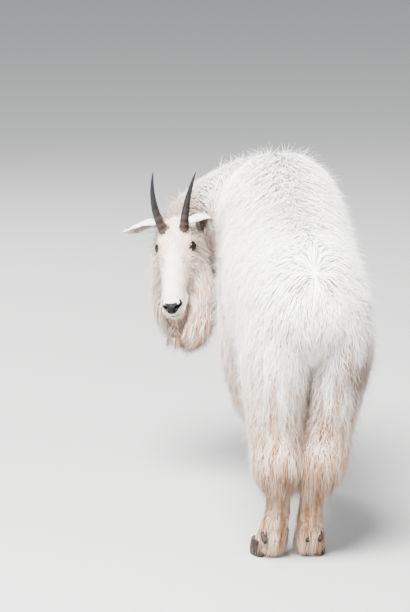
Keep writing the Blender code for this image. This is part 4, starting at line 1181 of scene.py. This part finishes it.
def coat_piece(name, parts, finish):
    """One object of several growths of hair, with its map, its measures, its markings and painted
    shade.
    """
    parts = [part for part in parts if part]
    points, faces = joined([(part["points"], part["faces"]) for part in parts])
    obj = piece(name, points, faces)
    mesh = obj.data
    uv = np.concatenate([part["uv"] for part in parts])
    layer = mesh.uv_layers.new(name="OFBake")
    layer.uv.foreach_set("vector", uv[faces.ravel()].astype(np.float32).ravel())
    for key in ("reach", "tone"):
        keep_number(mesh, key, np.concatenate([part[key] for part in parts]))
    marking(mesh, np.concatenate([part["colour"] for part in parts]))
    mesh.normals_split_custom_set_from_vertices(
        np.concatenate([part["normals"] for part in parts]).tolist())
    mesh.materials.append(finish)
    return obj


# Keeps the colours of the markings, with their painted shade, at each point
def marking(mesh, colour):
    layer = mesh.attributes.new("marking", "FLOAT_COLOR", "POINT")
    full = np.column_stack((colour, np.ones(len(colour)))).astype(np.float32)
    layer.data.foreach_set("color", full.ravel())


# Horns, hooves and eyes
def make_horn(side):
    """A finely ringed horn, rough and wide at the root and smooth at the tip."""
    count, turns = 150, 28
    path = np.array([tuple(p) for p in horn_path(side, count)])
    ahead = unit(np.gradient(path, axis=0))
    across = unit(np.cross(ahead, (0.0, 1.0, 0.0)))
    fore = np.cross(across, ahead)
    f = np.linspace(0, 1, count + 1)
    radius = HORN_RADIUS * (1 - f) ** 0.72 + 0.0005
    grown = (f * 1.12) ** 0.9 * 52
    ring = 0.5 + 0.5 * np.sin(grown + 0.7 * np.sin(3.1 * grown / 2.3))
    radius = radius * (1 + 0.060 * (ring ** 2 - 0.4) * (1 - eased(0.34, 0.62, f)))
    radius = radius * (1 + 0.07 * (1 - eased(0.08, 0.16, f)))
    angle = np.arange(turns) * math.tau / turns
    flute = 1 + 0.010 * np.cos(5 * angle)[None] * (1 - f)[:, None]
    wide = (radius[:, None] * flute)[..., None]
    rings = (path[:, None] + across[:, None] * np.cos(angle)[None, :, None] * wide * 0.94
             + fore[:, None] * np.sin(angle)[None, :, None] * wide * 1.06)
    points, faces = rings_closed(rings)
    horn = outward(piece(f"horn_{side}_ringed", moved(points, HEAD), faces))
    keep_number(horn.data, "reach", np.append(np.repeat(f, turns), (0.0, 1.0)))
    ridge = np.maximum(ring, eased(0.40, 0.60, f))
    keep_number(horn.data, "ridge", np.append(np.repeat(ridge, turns), (1.0, 1.0)))
    return horn


HOOF_LEVELS = [(0.0, 0.965, 0.985, 0.0), (0.0015, 1.0, 1.0, 0.0), (0.012, 1.0, 0.99, 0.001),
               (0.022, 0.97, 0.95, 0.002), (0.032, 0.93, 0.90, 0.003),
               (0.040, 0.87, 0.83, 0.0045), (0.046, 0.80, 0.74, 0.006)]


def make_hoof(kind, side, toe):
    """One toe's hoof: a flat sole, a worn rounded edge and a wall that leans back."""
    sign = (1 if toe == "outer" else -1) * SIDES[side]
    turns = 36
    angle = np.arange(turns) * math.tau / turns
    c, s = np.cos(angle), np.sin(angle)
    rings = []
    rows = 22
    for share in np.concatenate(([0.0], np.linspace(0.02, 1, rows))):
        z, wide, long, back = (v[0] for v in along(HOOF_LEVELS, np.array([share])))
        z = 0.0 if share == 0.0 else max(z, 0.0)
        ridge = 1 + 0.006 * math.sin(share * 34) * (share > 0.25)
        narrow = 1 - 0.45 * np.maximum(0.0, s) ** 2
        x = c * (0.5 * HOOF_WIDTH * wide * ridge * narrow)
        y = 0.5 * HOOF_LENGTH + back + s * 0.5 * HOOF_LENGTH * long
        y = y - 0.5 * HOOF_LENGTH * (1 - long)
        x = x + sign * (0.5 * (HOOF_WIDTH + HOOF_SPLIT) + 0.0018 * (y / HOOF_LENGTH))
        rings.append(np.stack((x, y, np.full(turns, z)), 1))
    points, faces = rings_closed(np.array(rings))
    return points, faces, foot_frame(kind, side)


def make_dewclaw(kind, side, toe):
    sign = (1 if toe == "outer" else -1) * SIDES[side]
    levels = ((0.0, 0.80), (0.22, 0.93), (0.45, 1.0), (0.66, 0.90), (0.82, 0.66), (0.90, 0.36))
    angle = np.arange(16) * math.tau / 16
    rings = [np.stack((sign * 0.017 + DEWCLAW_RADIUS * wide * np.cos(angle),
                       np.full(16, -0.006 - 0.030 * f),
                       DEWCLAW_HEIGHT - 0.022 * f + DEWCLAW_RADIUS * wide * np.sin(angle)), 1)
             for f, wide in levels]
    points, faces = rings_closed(np.array(rings))
    return points, faces, foot_frame(kind, side)


def make_eye(side):
    """An eyeball with its clear front standing a little proud."""
    centre, look, slit, up = (np.array(v) for v in eye_frame(SIDES[side]))
    points, faces = knob((0, 0, 0), (EYE_RADIUS,) * 3, detail=5)
    ahead = unit(points) @ look
    points = points * (1 + 0.045 * eased(0.72, 0.92, ahead))[:, None]
    flat = np.stack((points @ slit, points @ up), 1) / (2.2 * EYE_RADIUS) + 0.5
    flat[ahead < 0] = 0.02
    eye = outward(piece(f"eye_{side}_ball", moved(points + centre, HEAD), faces))
    layer = eye.data.uv_layers.new(name="EyeFront")
    corner = np.empty(3 * len(faces), dtype=np.int32)
    eye.data.loops.foreach_get("vertex_index", corner)
    layer.uv.foreach_set("vector", flat[corner].astype(np.float32).ravel())
    return eye


# Finishes
class Level:
    """A number on its way through a finish."""

    def __init__(self, finish, socket):
        self.finish, self.socket = finish, socket

    def worked(self, operation, first, second=0.0):
        node = self.finish.node("ShaderNodeMath", {"operation": operation},
                                {0: first, 1: second})
        return Level(self.finish, node.outputs[0])

    def __add__(self, other):
        return self.worked("ADD", self, other)

    def __sub__(self, other):
        return self.worked("SUBTRACT", self, other)

    def __rsub__(self, other):
        return self.worked("SUBTRACT", other, self)

    def __mul__(self, other):
        return self.worked("MULTIPLY", self, other)

    def __pow__(self, other):
        return self.worked("POWER", self, other)

    __radd__, __rmul__ = __add__, __mul__

    def within(self, low, high):
        """From 0 to 1 while the number goes from low to high."""
        node = self.finish.node("ShaderNodeMapRange", {"interpolation_type": "SMOOTHSTEP"},
                                {"Value": self, "From Min": low, "From Max": high})
        return Level(self.finish, node.outputs[0])


class Finish:
    """A material in the making."""

    def __init__(self, name, **steady):
        self.made = bpy.data.materials.new(name)
        self.made.use_nodes = True
        self.tree = self.made.node_tree
        self.shader = self.tree.nodes["Principled BSDF"]
        for socket, value in steady.items():
            self.feed(self.shader.inputs[socket.replace("_", " ")], value)

    def feed(self, socket, value):
        if isinstance(value, Level):
            value = value.socket
        if isinstance(value, bpy.types.NodeSocket):
            self.tree.links.new(value, socket)
        else:
            socket.default_value = value

    def node(self, kind, settings, values):
        node = self.tree.nodes.new(kind)
        for key, value in settings.items():
            if key == "stops":
                ramp = node.color_ramp
                while len(ramp.elements) < len(value):
                    ramp.elements.new(0.5)
                for stop, (at, colour) in zip(ramp.elements, value):
                    stop.position, stop.color = at, (*colour, 1.0)
            else:
                setattr(node, key, value)
        for key, value in values.items():
            self.feed(node.inputs[key], value)
        return node

    def place(self, scale=(1.0, 1.0, 1.0)):
        """Where a point of the surface is, in metres, stretched."""
        here = self.node("ShaderNodeTexCoord", {}, {}).outputs["Object"]
        return self.node("ShaderNodeVectorMath", {"operation": "MULTIPLY"},
                         {0: here, 1: scale}).outputs[0]

    def noise(self, scale, detail=3.0, rough=0.5, stretch=(1.0, 1.0, 1.0)):
        node = self.node("ShaderNodeTexNoise", {},
                         {"Vector": self.place(stretch), "Scale": scale, "Detail": detail,
                          "Roughness": rough})
        return Level(self, node.outputs[0])

    def kept(self, name):
        """A number that the mesh keeps at its points."""
        node = self.node("ShaderNodeAttribute", {"attribute_name": name}, {})
        return Level(self, node.outputs["Fac"])

    def kept_colour(self, name):
        return self.node("ShaderNodeAttribute", {"attribute_name": name}, {}).outputs["Color"]

    def mixed(self, share, first, second, blend="MIX"):
        node = self.node("ShaderNodeMix", {"data_type": "RGBA", "blend_type": blend},
                         {0: share, 6: first, 7: second})
        return node.outputs[2]

    def coloured(self, colour):
        self.feed(self.shader.inputs["Base Color"], colour)

    def rough(self, level):
        self.feed(self.shader.inputs["Roughness"], level)

    def bumped(self, height, distance, strength=1.0):
        node = self.node("ShaderNodeBump", {}, {"Height": height, "Distance": distance,
                                                "Strength": strength})
        self.feed(self.shader.inputs["Normal"], node.outputs[0])


def hair_finish():
    """Clean dry hair: darker at its root as painted shade between the tufts, and each tuft a
    little off its neighbours.
    """
    finish = Finish("goat_hair", Roughness=0.62)
    finish.shader.inputs["Sheen Weight"].default_value = 0.18
    finish.shader.inputs["Sheen Roughness"].default_value = 0.45
    finish.shader.inputs["Specular IOR Level"].default_value = 0.28
    reach, tone = finish.kept("reach"), finish.kept("tone")
    streaks = finish.noise(46.0, 3.0, 0.6, (1.0, 1.0, 0.14)).within(0.40, 0.68)
    spot = finish.node("ShaderNodeSeparateXYZ", {}, {0: finish.place()})
    low = 1.0 - Level(finish, spot.outputs["Z"]).within(0.40, 0.80)
    # Painted shade: each tuft darker towards its root; the tone shifts each clump at random
    shade = 0.90 + 0.10 * reach.within(0.0, 0.7) + 0.046 * tone
    patches = finish.noise(58.0, 4.0, 0.6).within(0.42, 0.62)
    colour = finish.mixed(1.0, finish.kept_colour("marking"), shade, "MULTIPLY")
    grime = streaks * (0.06 + 0.85 * low) + 0.16 * patches
    finish.coloured(finish.mixed(grime, colour, (*CREAM, 1.0), "MULTIPLY"))
    return finish.made


def skin_finish():
    """Skin under the coat, with the nap of short hair, and wet at the nose and lids."""
    finish = Finish("goat_skin")
    finish.shader.inputs["Specular IOR Level"].default_value = 0.16
    wet = finish.kept("wet")
    nap = finish.noise(420.0, 2.0, 0.6)
    grain = finish.noise(900.0, 2.0, 0.6)
    tint = 0.86 + 0.14 * nap
    finish.coloured(finish.mixed(1.0, finish.kept_colour("marking"), tint, "MULTIPLY"))
    finish.rough(0.82 - 0.42 * wet)
    finish.bumped(nap * (1.0 - wet) + grain * (0.5 * wet), 0.0012, 0.6)
    return finish.made


def horn_finish():
    """Grey-brown ringed root, going over to black and glossy at the tip, with a faint painted blue
    reflection there.
    """
    finish = Finish("goat_horn")
    finish.shader.inputs["Specular IOR Level"].default_value = 0.28
    reach = finish.kept("reach")
    streaks = finish.noise(70.0, 4.0, 0.6, (1.0, 1.0, 0.3))
    fine = finish.noise(420.0, 3.0, 0.6)
    at = reach + 0.10 * (streaks - 0.5)
    # The blue of the last stops is a painted reflection on the glossy tip
    ramp = finish.node("ShaderNodeValToRGB", {"stops": [
        (0.08, pale(72, 58, 51)), (0.30, pale(52, 43, 41)), (0.50, pale(27, 24, 28)),
        (0.72, pale(14, 14, 20)), (1.0, pale(16, 18, 30))]}, {"Fac": at})
    ringed = finish.mixed(1.0, ramp.outputs[0], 0.45 + 0.55 * finish.kept("ridge"), "MULTIPLY")
    finish.coloured(finish.mixed(0.45, ringed, 0.45 + 0.9 * fine, "MULTIPLY"))
    finish.rough(0.52 - 0.22 * reach + 0.12 * (fine - 0.5))
    finish.bumped(fine + 0.7 * streaks, 0.0008, 0.55)
    return finish.made


def hoof_finish():
    """Dull dark horn with fine upright lines."""
    finish = Finish("goat_hoof")
    finish.shader.inputs["Specular IOR Level"].default_value = 0.18
    lines = finish.noise(240.0, 4.0, 0.6, (1.0, 1.0, 0.18))
    bands = finish.noise(300.0, 2.0, 0.5, (0.15, 0.15, 1.0))
    finish.coloured(finish.mixed(lines.within(0.35, 0.7), (*pale(14, 12, 10), 1.0),
                                 (*pale(60, 50, 43), 1.0)))
    finish.rough(0.50 + 0.20 * lines)
    finish.bumped(lines + 0.6 * bands, 0.0006, 0.5)
    return finish.made


def eye_finish():
    """Dark brown eye with a level slit of a pupil under a clear wet front."""
    finish = Finish("goat_eye", Roughness=0.06)
    finish.shader.inputs["Coat Weight"].default_value = 0.25
    finish.shader.inputs["Specular IOR Level"].default_value = 0.3
    finish.shader.inputs["Coat Roughness"].default_value = 0.03
    flat = finish.node("ShaderNodeUVMap", {"uv_map": "EyeFront"}, {}).outputs[0]
    spot = finish.node("ShaderNodeSeparateXYZ", {}, {0: flat})
    u, v = (Level(finish, spot.outputs[k]) - 0.5 for k in (0, 1))
    from_middle = (u * u + v * v) ** 0.5
    slit = ((u * 0.62) ** 2.0 + (v * 1.9) ** 2.0) ** 0.5
    threads = finish.noise(900.0, 3.0, 0.7)
    iris = finish.mixed(threads.within(0.3, 0.7), (*pale(12, 7, 6), 1.0),
                        (*pale(28, 16, 10), 1.0))
    iris = finish.mixed(slit.within(0.105, 0.085), iris, (0.002, 0.002, 0.002, 1.0))
    ball = finish.mixed(from_middle.within(0.255, 0.285), iris, (*pale(18, 13, 11), 1.0))
    finish.coloured(ball)
    return finish.made


# Cuts of hair
UNDERCOAT = {"pull": 0.28, "hang": 0.12}
LOCKS = {"width_share": 0.85, "length_share": 0.95, "density": 0.13, "pull": 0.75,
         "hang": 0.14, "wander": 20.0, "flat": 0.9, "proud": 0.012}
STRAYS = {"width_share": 0.65, "length_share": 0.75, "density": 0.08, "pull": 0.3,
          "hang": 0.10, "wander": 34.0, "flat": 0.9, "proud": 0.024}
SHORT_HAIR = {"stand": 1.3, "pull": 0.2, "wander": 12.0, "flat": 0.7}
EAR_HAIR = SHORT_HAIR | {"stand": 2.4}
FOOT_FRINGE = {"width_share": 1.3, "stand": 2.2, "length_share": 2.5, "density": 0.7,
               "pull": 0.6, "hang": 0.5, "wander": 24.0, "flat": 0.7}
FACE_HAIR = {"density": 0.85, "pull": 0.0, "stand": 0.6, "wander": 9.0, "mottle": 0.5}
MUZZLE_HAIR = {"length_share": 0.45, "pull": 0.0, "stand": 0.35, "wander": 8.0, "mottle": 0.3}
BEARD_HAIR = {"stand": 1.05, "length_share": 0.95, "pull": 0.6, "hang": 0.25, "steps": 3,
              "loose": 0.5, "mottle": 0.6}
BEARD_LOCKS = {"stand": 1.25, "length_share": 0.95, "density": 0.3, "steps": 3, "pull": 0.85,
               "hang": 0.2, "wander": 20.0, "flat": 0.8, "loose": 0.5, "mottle": 0.6}
CHIN_HAIR = {"width_share": 1.5, "stand": 1.3, "length_share": 3.0, "density": 5.0, "steps": 3,
             "pull": 0.25, "hang": 0.5, "wander": 20.0, "flat": 0.6, "loose": 0.7,
             "mottle": 0.4, "longest": 0.092}
RUFF_HAIR = {"width_share": 1.4, "density": 0.45, "steps": 3, "pull": 0.4, "hang": 0.20,
             "flat": 0.6, "loose": 0.3, "mottle": 0.7}
RUFF_LOCKS = {"width_share": 1.2, "stand": 1.35, "length_share": 0.7, "density": 0.24,
              "pull": 0.85, "hang": 0.10, "wander": 34.0, "flat": 1.1, "loose": 0.3,
              "mottle": 0.8}


# Putting it together
def set_down(objects):
    """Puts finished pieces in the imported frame."""
    for obj in objects:
        obj.data.transform(Matrix.Translation(GOAT_PLACE))
        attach(obj, "root")


def replaced(obj, slot, *nodes):
    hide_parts(*nodes)


def dress_goat():
    """The skin and the coat on it, in pieces by the part of the body."""
    skin = make_skin()
    hide = Hide(skin)
    coat, bare = hair_finish(), skin_finish()
    marking(skin.data, colours_at(hide.points, hide.normals, hide.form))
    keep_number(skin.data, "wet", bare_places(hide.points))
    skin.data.shade_smooth()
    skin.data.materials.clear()
    skin.data.materials.append(bare)
    middle = hide.points[hide.faces].mean(1)
    x, y, z = middle.T
    name = np.array(FORM_NAMES)[hide.face_form].astype(str)
    torso = name == "torso"
    rump, side = y < -0.30, x < 0
    parts = {
        "rump_coat_left": torso & rump & side, "rump_coat_right": torso & rump & ~side,
        "flank_coat_left": torso & ~rump & side & (y < 0.08),
        "flank_coat_right": torso & ~rump & ~side & (y < 0.08),
        "shoulder_coat_left": torso & side & (y >= 0.08),
        "shoulder_coat_right": torso & ~side & (y >= 0.08),
        "neck_coat": name == "neck", "tail_coat": name == "tail",
    }
    for leg in ("left", "right"):
        for kind in ("hind", "fore"):
            parts[f"{kind}leg_coat_{leg}"] = name == f"{kind}leg_upper_{leg}"
            parts[f"{kind}leg_short_coat_{leg}"] = name == f"{kind}leg_lower_{leg}"
        parts[f"ear_coat_{leg}"] = name == f"ear_{leg}"
    made = []
    for key, where in parts.items():
        where = where.astype(float)
        if "ear" in key:
            grown = [grow(hide, where, **EAR_HAIR)]
        elif "short" in key:
            fringe = where * eased(0.130, 0.090, z)
            grown = [grow(hide, where, **SHORT_HAIR), grow(hide, fringe, **FOOT_FRINGE)]
        else:
            grown = [grow(hide, where, **cut) for cut in (UNDERCOAT, LOCKS, STRAYS)]
        made.append(coat_piece(key, grown, coat))
    face = ((name == "skull") | (name == "jaw")).astype(float)
    fore = face * eased(0.17, 0.20, moved(middle, HEAD_BACK)[:, 1])
    made.append(coat_piece("face_coat", [
        grow(hide, face - fore, **FACE_HAIR), grow(hide, fore, **MUZZLE_HAIR)], coat))
    beard = (name == "beard").astype(float)
    ruff = face * hide.ruff[hide.faces].mean(1)
    chin = face * hide.chin[hide.faces].mean(1)
    made.append(coat_piece("beard_coat", [
        grow(hide, beard, **BEARD_HAIR), grow(hide, beard, **BEARD_LOCKS),
        grow(hide, chin, **CHIN_HAIR)], coat))
    made.append(coat_piece("cheek_coat", [
        grow(hide, ruff, **RUFF_HAIR), grow(hide, ruff, **RUFF_LOCKS)], coat))
    flesh = ["torso", "neck", "head", "tail"]
    for leg in SIDES:
        flesh.append(f"ear_{leg}")
        for kind in ("hind", "fore"):
            flesh += [f"{kind}leg_upper_{leg}", f"{kind}leg_lower_{leg}"]
    set_down([skin, *made])
    replaced(skin, "white_coat", *flesh)


def dress_hard_parts():
    """Horns, eyes, hooves and dewclaws, each in place of its own node."""
    horn, hoof, eye = horn_finish(), hoof_finish(), eye_finish()
    for side in SIDES:
        for obj, finish, slot, node in ((make_horn(side), horn, "horn", f"horn_{side}"),
                                        (make_eye(side), eye, "eye", f"eye_{side}")):
            obj.data.materials.append(finish)
            set_down([obj])
            replaced(obj, slot, node)
        for kind in ("hind", "fore"):
            for toe in ("inner", "outer"):
                for part, maker in (("hoof", make_hoof), ("dewclaw", make_dewclaw)):
                    points, faces, foot = maker(kind, side, toe)
                    node = f"{part}_{kind}_{side}_{toe}"
                    obj = outward(piece(f"{node}_worn", moved(points, foot), faces))
                    obj.data.materials.append(hoof)
                    set_down([obj])
                    replaced(obj, "hoof", node)


CAMERA_PLACE = GOAT_PLACE + Vector((-1.1202, -9.0153, 2.5545))
CAMERA_AZIMUTH, CAMERA_HEIGHT = math.radians(-5.5), math.radians(12.0)
CAMERA_LENS = 188.0
FLOOR_HALF = 60.0
FLOOR_DROP = 0.0005
LIGHT_AIM = Vector((0.0, -0.1, 0.55))
# Studio lights: name, place, size, power and colour
LIGHTS = [
    ("sky_light", (-1.4, -2.2, 5.4), 3.4, 3300.0, (1.0, 0.99, 0.97)),
    ("side_light", (3.4, -2.8, 2.6), 2.6, 160.0, (0.95, 0.97, 1.0)),
    ("low_light", (-3.4, -2.2, 1.0), 2.4, 120.0, (1.0, 0.99, 0.97)),
    ("back_light", (-1.5, 4.2, 3.4), 3.0, 500.0, (1.0, 0.99, 0.97)),
]
SKY_COLOUR, SKY_STRENGTH = (0.93, 0.95, 1.0, 1.0), 0.9


def set_camera():
    back = Vector((math.sin(CAMERA_AZIMUTH) * math.cos(CAMERA_HEIGHT),
                   -math.cos(CAMERA_AZIMUTH) * math.cos(CAMERA_HEIGHT),
                   math.sin(CAMERA_HEIGHT)))
    data = bpy.data.cameras.new("view")
    data.lens = CAMERA_LENS
    data.clip_end = 60.0
    camera = bpy.data.objects.new("view", data)
    bpy.context.scene.collection.objects.link(camera)
    camera.location = CAMERA_PLACE
    camera.rotation_euler = (-back).to_track_quat("-Z", "Y").to_euler()
    bpy.context.scene.camera = camera


def soft_light(name, place, size, power, colour):
    data = bpy.data.lights.new(name, "AREA")
    data.shape = "DISK"
    data.size = size
    data.energy = power
    data.color = colour
    lamp = bpy.data.objects.new(name, data)
    bpy.context.scene.collection.objects.link(lamp)
    lamp.location = place
    aim = LIGHT_AIM - Vector(place)
    lamp.rotation_euler = aim.to_track_quat("-Z", "Y").to_euler()


def set_studio():
    finish = Finish("studio_floor", Roughness=0.85)
    finish.coloured((*pale(150, 151, 150), 1.0))
    corners = np.array([(-1, -1, 0), (1, -1, 0), (1, 1, 0), (-1, 1, 0)]) * FLOOR_HALF
    floor = piece("floor", corners + (0, 0, -FLOOR_DROP), np.array([(0, 1, 2), (0, 2, 3)]))
    floor.data.materials.append(finish.made)
    world = bpy.data.worlds.new("studio")
    bpy.context.scene.world = world
    world.use_nodes = True
    sky = world.node_tree.nodes["Background"]
    sky.inputs[0].default_value = SKY_COLOUR
    sky.inputs[1].default_value = SKY_STRENGTH
    for light in LIGHTS:
        soft_light(*light)


dress_goat()
dress_hard_parts()
set_studio()
set_camera()
